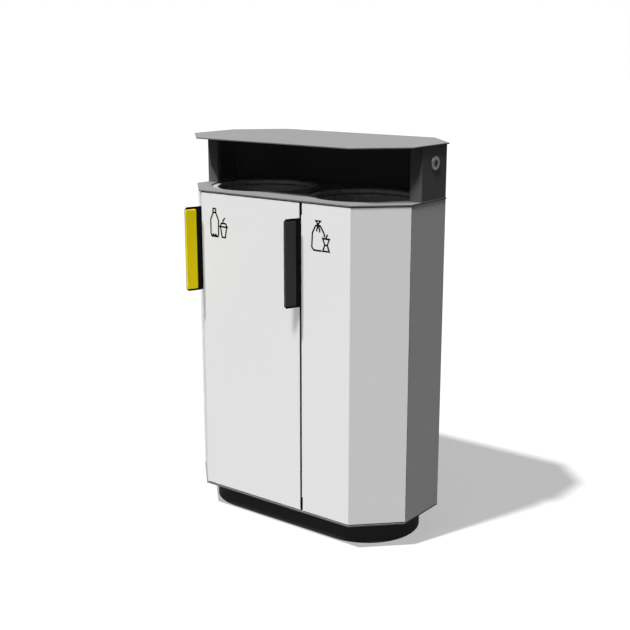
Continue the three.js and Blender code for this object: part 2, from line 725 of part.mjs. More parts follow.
/**
 * The bar below the deck. It runs forward past the right door's pivot, along the doors, and
 * jogs back where the left door's edge swings in. One finger hangs behind each door's catch.
 */
function latchBar() {
  const half = BAR_THICKNESS / 2;
  const pass = ringOuter + 2 * BAR_THICKNESS; // clear of the right ring
  const sideX = rightHoleX + pass * Math.cos(Math.PI / 6) + BAR_THICKNESS;
  const jogLine = barLine + BAR_JOG;
  const middle = [
    point(barX, rodY + ROD_WIDTH / 2),
    point(barX, flankFront + BODY_CHAMFER * 0.35),
    point(sideX, flankFront),
    point(sideX, flankFront - BODY_CHAMFER * 0.18),
    point(frontCorner - BAR_THICKNESS, barLine),
    point(leftPivot.x + 42, barLine),
    point(leftPivot.x + 26, jogLine),
    point(leftPivot.x - 32, jogLine),
    point(leftPivot.x - 48, barLine),
    point(barLeftEnd, barLine),
  ];
  const outer = folded(middle, -half).slice(middle.length).reverse();
  const kept = [prism(folded(outer, BAR_THICKNESS), barBottom, barTop)];
  for (const x of [leftCatchX, rightCatchX]) {
    kept.push(block(
      x - FINGER_WIDTH / 2, x + FINGER_WIDTH / 2, barLine - half, barLine + half,
      fingerBottom, barBottom + BAR_HEIGHT / 2,
    ));
  }
  return piece('latch_bar', carve(kept), zinc);
}

/** An inverted U under the deck that the bar slides up and down in. */
function latchGuide(name, x) {
  const inner = BAR_THICKNESS / 2 + GUIDE_CLEARANCE;
  const outer = inner + LATCH_GUIDE_SHEET;
  const web = -LATCH_GUIDE_SHEET;
  const outline = [
    point(-outer, 0), point(-outer, -LATCH_GUIDE_LENGTH), point(-inner, -LATCH_GUIDE_LENGTH),
    point(-inner, web), point(inner, web), point(inner, -LATCH_GUIDE_LENGTH),
    point(outer, -LATCH_GUIDE_LENGTH), point(outer, 0),
  ];
  const half = LATCH_GUIDE_WIDTH / 2;
  return piece(name, alongX(prism(outline, -half, half)), nylon, x, barLine, shellTop);
}

// ---- Doors -------------------------------------------------------------------------------

/** A folded door: face and side returns, with a flange along the top and the bottom. */
function doorSkin(name, facePath, pivot, handleEdge, removed) {
  const first = facePath[0];
  const second = facePath[1];
  const along = first.clone().sub(second).normalize();
  const hingeReturn = first.clone().add(point(-along.y, along.x).multiplyScalar(DOOR_RETURN));
  const sides = [hingeReturn, ...facePath, point(handleEdge, doorBack)];
  const flange = folded(facePath, DOOR_RETURN);
  const bushHole = STUD_RADIUS + BUSH_CLEARANCE + BUSH_WALL + SEAT;
  const kept = [
    prism(folded(sides, SHEET), doorBottom, doorTop),
    prism(flange, doorBottom, doorBottom + SHEET),
    prism(flange, doorTop - SHEET, doorTop),
  ];
  const holes = [
    rod(bushHole, doorBottom - SHEET, doorBottom + 2 * SHEET, pivot.x, pivot.y),
    rod(bushHole, doorTop - 2 * SHEET, doorTop + SHEET, pivot.x, pivot.y),
  ];
  for (const z of handleBoltHeights()) {
    const hole = rod(HANDLE_BOLT_RADIUS + BOLT_CLEARANCE, -SHEET, 2 * SHEET, 0, 0, 12);
    holes.push(alongX(hole).translate(handleEdge, handleBoltY(), z));
  }
  return piece(name, carve(kept, [...holes, ...removed]), paleCoat);
}

function leftDoorSkin() {
  const face = [point(SEAM_LEFT, -halfDepth), point(leftDoorEdge, -halfDepth)];
  return doorSkin('left_door_skin', face, leftPivot, leftDoorEdge, []);
}

function rightDoorSkin() {
  const face = [
    point(halfWidth, flankFront),
    point(frontCorner, -halfDepth),
    point(rightDoorEdge, -halfDepth),
  ];
  const relief = (z0, z1) => block(
    rightDoorEdge - SHEET, rightDoorEdge + RELIEF_WIDTH, -halfDepth - SHEET, doorBack + SHEET, z0, z1,
  );
  const removed = [
    relief(doorTop - RELIEF_TOP, doorTop + SHEET),
    relief(doorBottom - SHEET, doorBottom + RELIEF_BOTTOM),
  ];
  return doorSkin('right_door_skin', face, rightPivot, rightDoorEdge, removed);
}

/** A hat-section rib up the inside of a door's face. */
function doorStiffener(name, x) {
  const half = STIFFENER_WIDTH / 2;
  const crown = half - STIFFENER_DEPTH;
  const sheet = STIFFENER_SHEET;
  const outline = [
    point(-half, 0), point(-crown - sheet, 0), point(-crown, STIFFENER_DEPTH - sheet),
    point(crown, STIFFENER_DEPTH - sheet), point(crown + sheet, 0), point(half, 0),
    point(half, sheet), point(crown + 2 * sheet, sheet), point(crown + sheet, STIFFENER_DEPTH),
    point(-crown - sheet, STIFFENER_DEPTH), point(-crown - 2 * sheet, sheet), point(-half, sheet),
  ];
  const geometry = prism(outline, doorBottom + STIFFENER_INSET, doorTop - STIFFENER_INSET);
  return piece(name, geometry, galvanised, x, -halfDepth + SHEET + SEAT);
}

function handleBoltHeights() {
  return [handleBottom + HANDLE_BOLT_MARGIN, HANDLE_TOP - HANDLE_BOLT_MARGIN];
}

function handleBoltY() {
  return -halfDepth + SHEET + (DOOR_RETURN - SHEET) / 2;
}

/** The handle's parts are built round the door's left edge, at x = 0, y = 0. */
function handleBend() {
  return point(-HANDLE_STANDOFF, -HANDLE_STUB);
}

function handlePlate() {
  const bend = handleBend();
  const lean = point(-Math.sin(HANDLE_LEAN), -Math.cos(HANDLE_LEAN));
  const tip = bend.clone().addScaledVector(lean, HANDLE_REACH);
  const outline = folded([point(bend.x, HANDLE_LEG), bend, tip], HANDLE_SHEET);
  const removed = [];
  for (const [z, up] of [[HANDLE_TOP, 1], [handleBottom, -1]]) {
    const corner = [
      point(-HANDLE_BEVEL, z + up), point(-HANDLE_BEVEL, z), point(0, z - up * HANDLE_BEVEL),
      point(1, z - up * HANDLE_BEVEL), point(1, z + up),
    ];
    const wedge = prism(corner, -2 * HANDLE_SHEET, 2 * HANDLE_SHEET).rotateX(Math.PI / 2);
    wedge.rotateZ(Math.atan2(lean.y, lean.x)).translate(tip.x, tip.y, 0);
    removed.push(wedge);
  }
  const left = bend.x - HANDLE_SHEET;
  const slope = (HANDLE_BOLT_HEAD - HANDLE_BOLT_RADIUS) / (HANDLE_SHEET - 2 * SEAT);
  const hole = HANDLE_BOLT_RADIUS + BOLT_CLEARANCE;
  for (const z of handleBoltHeights()) {
    const cone = turned([
      [0, -SHEET], [hole + slope * (HANDLE_SHEET + SHEET), -SHEET], [hole, HANDLE_SHEET],
      [hole, HANDLE_SHEET + SHEET], [0, HANDLE_SHEET + SHEET],
    ], 12);
    removed.push(alongX(cone).translate(left, handleBoltY() + halfDepth, z));
  }
  return carve([prism(outline, handleBottom, HANDLE_TOP)], removed);
}

/** The coloured strip on the handle's right face, flush with its free end. */
function handleInsert() {
  const z0 = handleBottom + INSERT_MARGIN;
  const z1 = HANDLE_TOP - INSERT_MARGIN;
  const x0 = HANDLE_REACH - INSERT_WIDTH;
  const x1 = HANDLE_REACH;
  const round = INSERT_ROUND;
  const tight = INSERT_ROUND / 2;
  const shape = new THREE.Shape();
  shape.absarc(x0 + round, z0 + round, round, Math.PI, 1.5 * Math.PI);
  shape.absarc(x1 - tight, z0 + tight, tight, 1.5 * Math.PI, 2 * Math.PI);
  shape.absarc(x1 - tight, z1 - tight, tight, 0, Math.PI / 2);
  shape.absarc(x0 + round, z1 - round, round, Math.PI / 2, Math.PI);
  const geometry = new THREE.ExtrudeGeometry(shape, {
    depth: INSERT_THICKNESS - 2 * INSERT_EDGE,
    bevelThickness: INSERT_EDGE,
    bevelSize: INSERT_EDGE,
    bevelOffset: -INSERT_EDGE,
    bevelSegments: 1,
    curveSegments: 3,
  });
  return geometry.rotateX(Math.PI / 2).translate(0, INSERT_THICKNESS - INSERT_EDGE + SEAT, 0);
}

function handleSpacer() {
  const y = handleBoltY() + halfDepth;
  const half = (DOOR_RETURN - SHEET) / 2 - 2 * SEAT;
  const margin = HANDLE_BOLT_MARGIN / 2;
  const geometry = block(
    -HANDLE_STANDOFF + SEAT, -SEAT, y - half, y + half, handleBottom + margin, HANDLE_TOP - margin,
  );
  const holes = handleBoltHeights().map((z) => {
    const hole = rod(HANDLE_BOLT_RADIUS + BOLT_CLEARANCE, -2 * HANDLE_STANDOFF, SHEET, 0, 0, 12);
    return alongX(hole).translate(0, y, z);
  });
  return carve([geometry], holes);
}

/** A countersunk bolt through plate, spacer and return, with its nut fused on inside. */
function handleBolt() {
  const nut = HANDLE_SHEET + HANDLE_STANDOFF + SHEET + SEAT;
  const shank = turned([
    [0, SEAT], [HANDLE_BOLT_HEAD, SEAT], [HANDLE_BOLT_RADIUS, HANDLE_SHEET - SEAT],
    [HANDLE_BOLT_RADIUS, nut + HANDLE_BOLT_NUT], [0, nut + HANDLE_BOLT_NUT],
  ], 12);
  return alongX(carve([shank, rod(HANDLE_BOLT_NUT, nut, nut + 4, 0, 0, 6)]));
}

/** A handle with its insert, spacer and bolts, on the door edge at x. */
function handle(side, x, insertMaterial) {
  const group = new THREE.Group();
  group.position.set(x, -halfDepth, 0);
  const bend = handleBend();
  const insert = piece(`${side}_handle_insert`, handleInsert(), insertMaterial, bend.x, bend.y);
  insert.rotation.z = Math.atan2(-Math.cos(HANDLE_LEAN), -Math.sin(HANDLE_LEAN));
  const boltX = bend.x - HANDLE_SHEET;
  const boltY = handleBoltY() + halfDepth;
  const [low, high] = handleBoltHeights();
  group.add(
    piece(`${side}_handle_plate`, handlePlate(), darkCoat),
    insert,
    piece(`${side}_handle_spacer`, handleSpacer(), nylon),
    piece(`${side}_handle_bolt_bottom`, handleBolt(), zinc, boltX, boltY, low),
    piece(`${side}_handle_bolt_top`, handleBolt(), zinc, boltX, boltY, high),
  );
  return group;
}

/** A bent catch on the inside of a door's face, with a lip behind the latch bar. */
function doorCatch(name, x) {
  const base = -halfDepth + SHEET + SEAT;
  const lipFront = barLine + BAR_THICKNESS / 2 + CATCH_PLAY;
  const lipBack = lipFront + CATCH_SHEET;
  const armBottom = catchTop - CATCH_LIP;
  const armTop = armBottom + CATCH_SHEET;
  const outline = [
    point(base, armBottom - CATCH_FOOT), point(base + CATCH_SHEET, armBottom - CATCH_FOOT),
    point(base + CATCH_SHEET, armBottom), point(lipBack, armBottom), point(lipBack, catchTop),
    point(lipFront, catchTop), point(lipFront, armTop), point(base, armTop),
  ];
  const half = CATCH_WIDTH / 2;
  return piece(name, alongX(prism(outline, -half, half)), zinc, x);
}

/** Studs and bushes of one door's pivot, bottom and top. */
function pivotStuds(side, pivot) {
  const collar = 1.2;
  const bottom = turned([
    [0, 0], [STUD_COLLAR_RADIUS, 0], [STUD_COLLAR_RADIUS, collar], [STUD_RADIUS, collar],
    [STUD_RADIUS, STUD_REACH - 1], [STUD_RADIUS - 1, STUD_REACH], [0, STUD_REACH],
  ]);
  const top = turned([
    [0, -STUD_REACH], [STUD_RADIUS - 1, -STUD_REACH], [STUD_RADIUS, 1 - STUD_REACH],
    [STUD_RADIUS, -1], [STUD_COLLAR_RADIUS, -1], [STUD_COLLAR_RADIUS, 0], [0, 0],
  ]);
  return [
    piece(`${side}_pivot_stud_bottom`, bottom, steel, pivot.x, pivot.y, floorTop + SEAT),
    piece(`${side}_pivot_stud_top`, top, steel, pivot.x, pivot.y, deckBottom - SEAT),
  ];
}

function doorBushes(side, pivot) {
  const inner = STUD_RADIUS + BUSH_CLEARANCE;
  const outer = inner + BUSH_WALL;
  const length = BUSH_FLANGE + 2 * SEAT + SHEET;
  const profile = [
    [inner, 0], [BUSH_FLANGE_RADIUS, 0], [BUSH_FLANGE_RADIUS, BUSH_FLANGE],
    [outer, BUSH_FLANGE], [outer, length], [inner, length],
  ];
  const bottomZ = doorBottom - SEAT - BUSH_FLANGE;
  const topZ = doorTop - SHEET - SEAT - BUSH_FLANGE;
  return [
    piece(`${side}_door_bush_bottom`, turned(profile), nylon, pivot.x, pivot.y, bottomZ),
    piece(`${side}_door_bush_top`, turned(profile), nylon, pivot.x, pivot.y, topZ),
  ];
}

/** A rubber block on the floor plate that a closed door's bottom flange rests against. */
function doorBuffer(name, x) {
  const bottom = floorTop + SEAT;
  const front = doorBack + SEAT;
  const edge = BUFFER_SIZE / 5;
  const outline = [
    point(front + edge, bottom), point(front + BUFFER_SIZE, bottom),
    point(front + BUFFER_SIZE, bottom + BUFFER_SIZE), point(front + edge, bottom + BUFFER_SIZE),
    point(front, bottom + BUFFER_SIZE - edge), point(front, bottom + edge),
  ];
  return piece(name, alongX(prism(outline, -BUFFER_SIZE, BUFFER_SIZE)), rubber, x);
}

// ---- Assembly ----------------------------------------------------------------------------

const bin = new THREE.Group();

bin.add(
  ...plinth(),
  floorPlate(),
  ...floorBolts(),
  bodyShell(),
  centreColumn(),
  dividerPanel(),
  deckPlate(),
  throatRing('left_throat_ring', leftHoleX),
  throatRing('right_throat_ring', rightHoleX),
  liner('left_liner', leftHoleX),
  liner('right_liner', rightHoleX),
  hoodShell(),
  roofPlate(),
  lockCover(),
  lockRosette(),
  lockBarrel(),
  lockNut(),
  lockPlug(),
  lockCam(),
  lockRod(),
  latchBar(),
  latchGuide('left_latch_guide', barLeftEnd + LATCH_GUIDE_WIDTH * 0.75),
  latchGuide('centre_latch_guide', DIVIDER_X),
  latchGuide('right_latch_guide', frontCorner - BUFFER_INSET),
  ...pivotStuds('left', leftPivot),
  ...pivotStuds('right', rightPivot),
  doorBuffer('left_door_buffer', leftDoorEdge + BUFFER_INSET),
  doorBuffer('right_door_buffer', rightDoorEdge + BUFFER_INSET),
);

const leftDoor = new THREE.Group();
leftDoor.add(
  leftDoorSkin(),
  doorStiffener('left_door_stiffener', (leftDoorEdge + SEAM_LEFT) / 2),
  doorCatch('left_door_catch', leftCatchX),
  ...doorBushes('left', leftPivot),
  handle('left', leftDoorEdge, yellowPlastic),
);

const rightDoor = new THREE.Group();
rightDoor.add(
  rightDoorSkin(),
  doorStiffener('right_door_stiffener', (rightDoorEdge + frontCorner) / 2),
  doorCatch('right_door_catch', rightCatchX),
  ...doorBushes('right', rightPivot),
  handle('right', rightDoorEdge, blackPlastic),
);

bin.add(leftDoor, rightDoor);

export default bin;
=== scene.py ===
"""Looks of a double recycling bin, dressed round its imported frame.

A folded steel cabinet on an oblong plinth, with two doors, a deck with two round
throw-in holes, an open-fronted hood, a flat roof and two round liners. Metres, +Z up,
the doors face -Y and the ground is at z = 0. Only the signs are drawn in millimetres.
"""

from __future__ import annotations

import logging
import math
from collections.abc import Iterable, Sequence
from dataclasses import dataclass, field
from enum import Enum

import bmesh
import bpy
from mathutils import Matrix, Vector


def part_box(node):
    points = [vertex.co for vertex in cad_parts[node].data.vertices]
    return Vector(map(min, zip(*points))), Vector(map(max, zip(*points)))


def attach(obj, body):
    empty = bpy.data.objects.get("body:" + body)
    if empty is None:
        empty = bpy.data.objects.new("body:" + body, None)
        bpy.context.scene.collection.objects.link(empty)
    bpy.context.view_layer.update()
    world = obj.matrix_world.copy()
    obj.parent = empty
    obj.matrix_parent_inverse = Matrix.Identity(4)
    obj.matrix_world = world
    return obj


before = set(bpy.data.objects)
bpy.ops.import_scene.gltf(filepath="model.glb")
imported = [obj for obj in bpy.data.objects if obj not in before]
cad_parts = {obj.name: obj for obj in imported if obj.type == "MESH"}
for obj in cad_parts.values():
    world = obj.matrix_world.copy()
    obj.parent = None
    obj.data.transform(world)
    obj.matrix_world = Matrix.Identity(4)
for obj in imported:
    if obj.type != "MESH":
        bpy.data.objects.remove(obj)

LOG = logging.getLogger("recycling_bin")
MM = 0.001
Colour = tuple[float, float, float]
Point = tuple[float, float]
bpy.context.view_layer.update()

WELD_REACH = 1e-5
FLAT_ANGLE = math.radians(0.6)
SHARP_ANGLE = math.radians(32)
EDGE_SEGMENTS = 2
LARGE_FACE_WEIGHT = 50

DOME_SIDES = 20
DOME_PROFILE = ((1.0, 0.0), (1.0, 0.12), (0.86, 0.3), (0.55, 0.42))
DOME_TOP = 0.46


class Body(Enum):
    """The frame's rigid bodies."""

    CABINET = "cabinet"
    LEFT_DOOR = "left_door"
    RIGHT_DOOR = "right_door"


class Side(Enum):
    """Left and right as seen by someone who faces the doors."""

    LEFT = "left"
    RIGHT = "right"

    @property
    def door(self) -> Body:
        """The body of this side's door."""
        return Body.LEFT_DOOR if self is Side.LEFT else Body.RIGHT_DOOR


# ---- Node graphs -------------------------------------------------------------------------


class Graph:
    """A shader node tree with short ways to add and join its nodes."""

    def __init__(self, tree: bpy.types.NodeTree) -> None:
        """Wrap a tree and empty it.

        Args:
            tree: The node tree of a material, world or node group.
        """
        self.tree = tree
        tree.nodes.clear()

    def add(
        self, kind: str, inputs: dict[str | int, object] | None = None, **settings: object
    ) -> bpy.types.Node:
        """Add a node.

        Args:
            kind: Blender's name of the node type.
            inputs: Values or output sockets by the input's name or number.
            **settings: Properties of the node itself.

        Returns:
            The new node.
        """
        node = self.tree.nodes.new(kind)
        for key, value in settings.items():
            setattr(node, key, value)
        for key, value in (inputs or {}).items():
            socket = node.inputs[key]
            if isinstance(value, bpy.types.NodeSocket):
                self.tree.links.new(value, socket)
            else:
                socket.default_value = value
        return node

    def math(self, operation: str, *values: object) -> bpy.types.NodeSocket:
        """Add a Math node and return its result."""
        node = self.add("ShaderNodeMath", dict(enumerate(values)), operation=operation)
        return node.outputs[0]

    def blend(self, factor: object, first: object, second: object) -> bpy.types.NodeSocket:
        """Mix two colours.

        Args:
            factor: Share of the second colour, from 0 to 1.
            first: Colour, or the socket that gives it.
            second: Colour, or the socket that gives it.

        Returns:
            The mixed colour.
        """
        inputs = {0: factor, 6: _rgba(first), 7: _rgba(second)}
        return self.add("ShaderNodeMix", inputs, data_type="RGBA").outputs[2]

    def scaled(self, colour: Colour, factor: bpy.types.NodeSocket) -> bpy.types.NodeSocket:
        """Multiply a colour by a number and return the result."""
        inputs = {0: colour, 3: factor}
        return self.add("ShaderNodeVectorMath", inputs, operation="SCALE").outputs[0]

    def spread(self, value: object, low: float, high: float) -> bpy.types.NodeSocket:
        """Stretch a value from 0..1 to low..high and return it."""
        inputs = {"Value": value, "To Min": low, "To Max": high}
        return self.add("ShaderNodeMapRange", inputs).outputs[0]

    def window(self, value: object, start: float, end: float) -> bpy.types.NodeSocket:
        """Map start..end to 0..1, held at both ends, and return it."""
        inputs = {"Value": value, "From Min": start, "From Max": end}
        return self.add("ShaderNodeMapRange", inputs).outputs[0]

    def here(self) -> bpy.types.NodeSocket:
        """Position on the object, in the object's own axes."""
        return self.add("ShaderNodeTexCoord").outputs["Object"]

    def noise(
        self, place: object, scale: object, detail: object = 2.0, roughness: float = 0.5
    ) -> bpy.types.NodeSocket:
        """Add layered noise from 0 to 1.

        Args:
            place: Where it is read.
            scale: How many of its largest features fit in a metre.
            detail: Number of finer layers.
            roughness: Weight of those layers.

        Returns:
            The noise.
        """
        inputs = {"Vector": place, "Scale": scale, "Detail": detail, "Roughness": roughness}
        return self.add("ShaderNodeTexNoise", inputs).outputs[0]

    def group(self, effect: bpy.types.NodeTree, **inputs: float) -> bpy.types.NodeSocket:
        """Place a shared effect with its own values.

        Args:
            effect: The effect's node group.
            **inputs: Values by the name of the group's input.

        Returns:
            The effect's output.
        """
        node = self.add("ShaderNodeGroup", node_tree=effect)
        for key, value in inputs.items():
            node.inputs[key].default_value = value
        return node.outputs[0]


def _rgba(colour: object) -> object:
    """Give a plain colour its fourth number; sockets pass through."""
    return (*colour, 1.0) if isinstance(colour, tuple) and len(colour) == 3 else colour


@dataclass
class Effects:
    """Shader effects that several finishes share, each built once."""

    made: dict[str, bpy.types.NodeTree] = field(default_factory=dict)
    upright: tuple[float, float, float] = (1.0, 1.0, 0.35)
    edge_turn: tuple[float, float] = (0.995, 0.8)
    patch_scale: float = 60.0
    level_slope: tuple[float, float] = (0.5, 0.95)
    dust_and_top_light_range: tuple[float, float] = (0.85, 1.15)

    def _start(
        self, name: str, inputs: dict[str, float], output: str
    ) -> tuple[Graph, bpy.types.Node]:
        """Begin a group with number inputs and one number output.

        Args:
            name: The group's name.
            inputs: Each input's name and default.
            output: The name of the output.

        Returns:
            The group's graph and its input node.
        """
        tree = bpy.data.node_groups.new(name, "ShaderNodeTree")
        for key, default in inputs.items():
            socket = tree.interface.new_socket(key, in_out="INPUT", socket_type="NodeSocketFloat")
            socket.default_value = default
        tree.interface.new_socket(output, in_out="OUTPUT", socket_type="NodeSocketFloat")
        self.made[name] = tree
        graph = Graph(tree)
        return graph, graph.add("NodeGroupInput")

    def grain(self) -> bpy.types.NodeTree:
        """Fine even texture, as of powder coat or moulded plastic.

        Returns:
            A group with the inputs Scale and Detail and the output Grain, from 0 to 1.
        """
        if "fine_grain" not in self.made:
            graph, given = self._start("fine_grain", {"Scale": 900.0, "Detail": 2.0}, "Grain")
            scale, detail = given.outputs["Scale"], given.outputs["Detail"]
            grain = graph.noise(graph.here(), scale, detail, roughness=0.6)
            graph.add("NodeGroupOutput", {"Grain": grain})
        return self.made["fine_grain"]

    def drift(self) -> bpy.types.NodeTree:
        """Slow change of tone over a surface, stretched along its height.

        Returns:
            A group with the inputs Scale and Amount and the output Shade, about 1.
        """
        if "tone_drift" not in self.made:
            graph, given = self._start("tone_drift", {"Scale": 3.0, "Amount": 0.03}, "Shade")
            tall = graph.add("ShaderNodeMapping", {"Vector": graph.here(), "Scale": self.upright})
            noise = graph.noise(tall.outputs[0], given.outputs["Scale"], 3.0)
            centred = graph.math("SUBTRACT", noise, 0.5)
            scaled = graph.math("MULTIPLY", centred, given.outputs["Amount"])
            doubled = graph.math("MULTIPLY", scaled, 2.0)
            graph.add("NodeGroupOutput", {"Shade": graph.math("ADD", doubled, 1.0)})
        return self.made["tone_drift"]

    def wear(self) -> bpy.types.NodeTree:
        """Paler coating where it thins over folds and cut edges.

        Returns:
            A group with the inputs Radius and Amount and the output Mask, from 0 to 1.
        """
        if "edge_wear" not in self.made:
            graph, given = self._start("edge_wear", {"Radius": 0.0012, "Amount": 0.4}, "Mask")
            soft = graph.add("ShaderNodeBevel", {"Radius": given.outputs["Radius"]}, samples=4)
            flat = graph.add("ShaderNodeNewGeometry").outputs["Normal"]
            turn = graph.add(
                "ShaderNodeVectorMath", {0: soft.outputs[0], 1: flat}, operation="DOT_PRODUCT"
            ).outputs["Value"]
            edge = graph.window(turn, *self.edge_turn)
            patch = graph.noise(graph.here(), self.patch_scale)
            broken = graph.math("MULTIPLY", edge, patch)
            mask = graph.math("MULTIPLY", broken, given.outputs["Amount"])
            graph.add("NodeGroupOutput", {"Mask": mask})
        return self.made["edge_wear"]

    def dust_and_top_light(self) -> bpy.types.NodeTree:
        """Thin settled dust on what faces up; on dark paint it is also painted light, making
        upward faces paler as a high lamp would.

        Returns:
            A group with the inputs Scale and Amount and the output Mask, from 0 to 1.
        """
        if "settled_dust_and_top_light" not in self.made:
            graph, given = self._start("settled_dust_and_top_light", {"Scale": 25.0, "Amount": 0.1}, "Mask")
            normal = graph.add("ShaderNodeNewGeometry").outputs["Normal"]
            up = graph.add("ShaderNodeSeparateXYZ", {0: normal}).outputs["Z"]
            level = graph.window(up, *self.level_slope)
            noise = graph.noise(graph.here(), given.outputs["Scale"], 5.0)
            even = graph.math("MULTIPLY", level, graph.spread(noise, *self.dust_and_top_light_range))
            mask = graph.math("MULTIPLY", even, given.outputs["Amount"])
            graph.add("NodeGroupOutput", {"Mask": mask})
        return self.made["settled_dust_and_top_light"]


EFFECTS = Effects()
BUILT: dict[str, bpy.types.Material] = {}


# ---- Finishes ----------------------------------------------------------------------------


@dataclass(frozen=True)
class Finish:
    """What all finishes share: a name, the record's slot and a base colour."""

    name: str
    slot: str
    colour: Colour

    def material(self) -> bpy.types.Material:
        """Build the material on first use.

        Returns:
            The material, the same one each time.
        """
        if self.name in BUILT:
            return BUILT[self.name]
        made = BUILT[self.name] = bpy.data.materials.new(self.name)
        made.use_nodes = True
        graph = Graph(made.node_tree)
        shader = graph.add("ShaderNodeBsdfPrincipled")
        graph.add("ShaderNodeOutputMaterial", {"Surface": shader.outputs[0]})
        self.dress(graph, shader)
        return made

    def dress(self, graph: Graph, shader: bpy.types.Node) -> None:
        """Wire the finish's own nodes into its shader."""
        raise NotImplementedError

    def join(
        self,
        graph: Graph,
        shader: bpy.types.Node,
        colour: bpy.types.NodeSocket,
        rough: bpy.types.NodeSocket,
        height: bpy.types.NodeSocket | None = None,
        depth: float = 0.0,
    ) -> None:
        """Link what the finish worked out to its shader.

        Args:
            graph: The material's graph.
            shader: Its Principled shader.
            colour: The base colour.
            rough: The roughness.
            height: Relief from 0 to 1, if the finish has any.
            depth: Depth of that relief, in metres.
        """
        links = graph.tree.links
        links.new(colour, shader.inputs["Base Color"])
        links.new(rough, shader.inputs["Roughness"])
        if height is not None:
            inputs = {"Height": height, "Distance": depth, "Strength": 1.0}
            relief = graph.add("ShaderNodeBump", inputs)
            links.new(relief.outputs[0], shader.inputs["Normal"])


@dataclass(frozen=True)
class PowderCoat(Finish):
    """Baked coating with a fine texture, thinner at edges, dusty on top; on dark paint the top
    dust is also painted light.
    """

    roughness: float = 0.68
    rough_swing: float = 0.06
    gloss: float = 0.15
    grain_scale: float = 700.0
    grain_depth: float = 0.00004
    worn: Colour = (0.8, 0.8, 0.8)
    wear: float = 0.3
    wear_radius: float = 0.0012
    dust_and_top_light: float = 0.05
    dust_and_top_light_scale: float = 22.0
    dust_and_top_light_tone: Colour = (0.42, 0.415, 0.405)
    drift: float = 0.02
    drift_scale: float = 3.0

    def dress(self, graph: Graph, shader: bpy.types.Node) -> None:
        """Wire drift, dust (partly painted top light), worn edges and grain into the shader.

        Args:
            graph: The material's graph.
            shader: Its Principled shader.
        """
        shade = graph.group(EFFECTS.drift(), Scale=self.drift_scale, Amount=self.drift)
        worn = graph.group(EFFECTS.wear(), Radius=self.wear_radius, Amount=self.wear)
        dust_and_top_light_mask = graph.group(EFFECTS.dust_and_top_light(), Scale=self.dust_and_top_light_scale, Amount=self.dust_and_top_light)
        grain = graph.group(EFFECTS.grain(), Scale=self.grain_scale, Detail=2.0)
        # The dust mask mixes its tone onto upward faces: real dust, and on dark paint also painted
        # light from above.
        toned = graph.blend(dust_and_top_light_mask, graph.scaled(self.colour, shade), self.dust_and_top_light_tone)
        coloured = graph.blend(worn, toned, self.worn)
        swing = self.rough_swing
        rough = graph.spread(grain, self.roughness - swing, self.roughness + swing)
        self.join(graph, shader, coloured, rough, grain, self.grain_depth)
        shader.inputs["Specular IOR Level"].default_value = self.gloss


@dataclass(frozen=True)
class GalvanisedSheet(Finish):
    """Hot-dipped zinc with its spangle and a dull bloom."""

    spangle: float = 95.0
    contrast: float = 0.16
    bloom: float = 0.08
    bloom_scale: float = 5.0
    smoothest: float = 0.52
    roughest: float = 0.72
    grain_scale: float = 500.0
    grain_depth: float = 0.00003
    metallic: float = 0.12
    gloss: float = 0.2

    def dress(self, graph: Graph, shader: bpy.types.Node) -> None:
        """Wire spangle, bloom and grain into the shader.

        Args:
            graph: The material's graph.
            shader: Its Principled shader.
        """
        cells = graph.add("ShaderNodeTexVoronoi", {
            "Vector": graph.here(), "Scale": self.spangle, "Randomness": 1.0,
        })
        cell = graph.add("ShaderNodeSeparateColor", {0: cells.outputs["Color"]}).outputs[0]
        light = graph.spread(cell, 1.0 - self.contrast, 1.0 + self.contrast)
        shade = graph.group(EFFECTS.drift(), Scale=self.bloom_scale, Amount=self.bloom)
        coloured = graph.scaled(self.colour, graph.math("MULTIPLY", light, shade))
        rough = graph.spread(cell, self.smoothest, self.roughest)
        grain = graph.group(EFFECTS.grain(), Scale=self.grain_scale, Detail=2.0)
        self.join(graph, shader, coloured, rough, grain, self.grain_depth)
        shader.inputs["Metallic"].default_value = self.metallic
        shader.inputs["Specular IOR Level"].default_value = self.gloss


@dataclass(frozen=True)
class BareMetal(Finish):
    """Plated or machined metal with fine tool marks along one direction."""

    roughness: float = 0.32
    polish: float = 0.08
    scuff: float = 0.12
    marks: tuple[float, float, float] = (900.0, 900.0, 60.0)
    mark_depth: float = 0.00001
    tarnish: Colour = (0.3, 0.28, 0.25)
    tarnish_amount: float = 0.2
    tarnish_scale: float = 70.0

    def dress(self, graph: Graph, shader: bpy.types.Node) -> None:
        """Wire tool marks and tarnish into the shader.

        Args:
            graph: The material's graph.
            shader: Its Principled shader.
        """
        place = graph.here()
        stretched = graph.add("ShaderNodeMapping", {"Vector": place, "Scale": self.marks})
        lines = graph.noise(stretched.outputs[0], 1.0, 3.0)
        cloud = graph.noise(place, self.tarnish_scale, 4.0)
        dull = graph.math("MULTIPLY", cloud, self.tarnish_amount)
        coloured = graph.blend(dull, self.colour, self.tarnish)
        rough = graph.spread(lines, self.roughness - self.polish, self.roughness + self.scuff)
        self.join(graph, shader, coloured, rough, lines, self.mark_depth)
        shader.inputs["Metallic"].default_value = 1.0


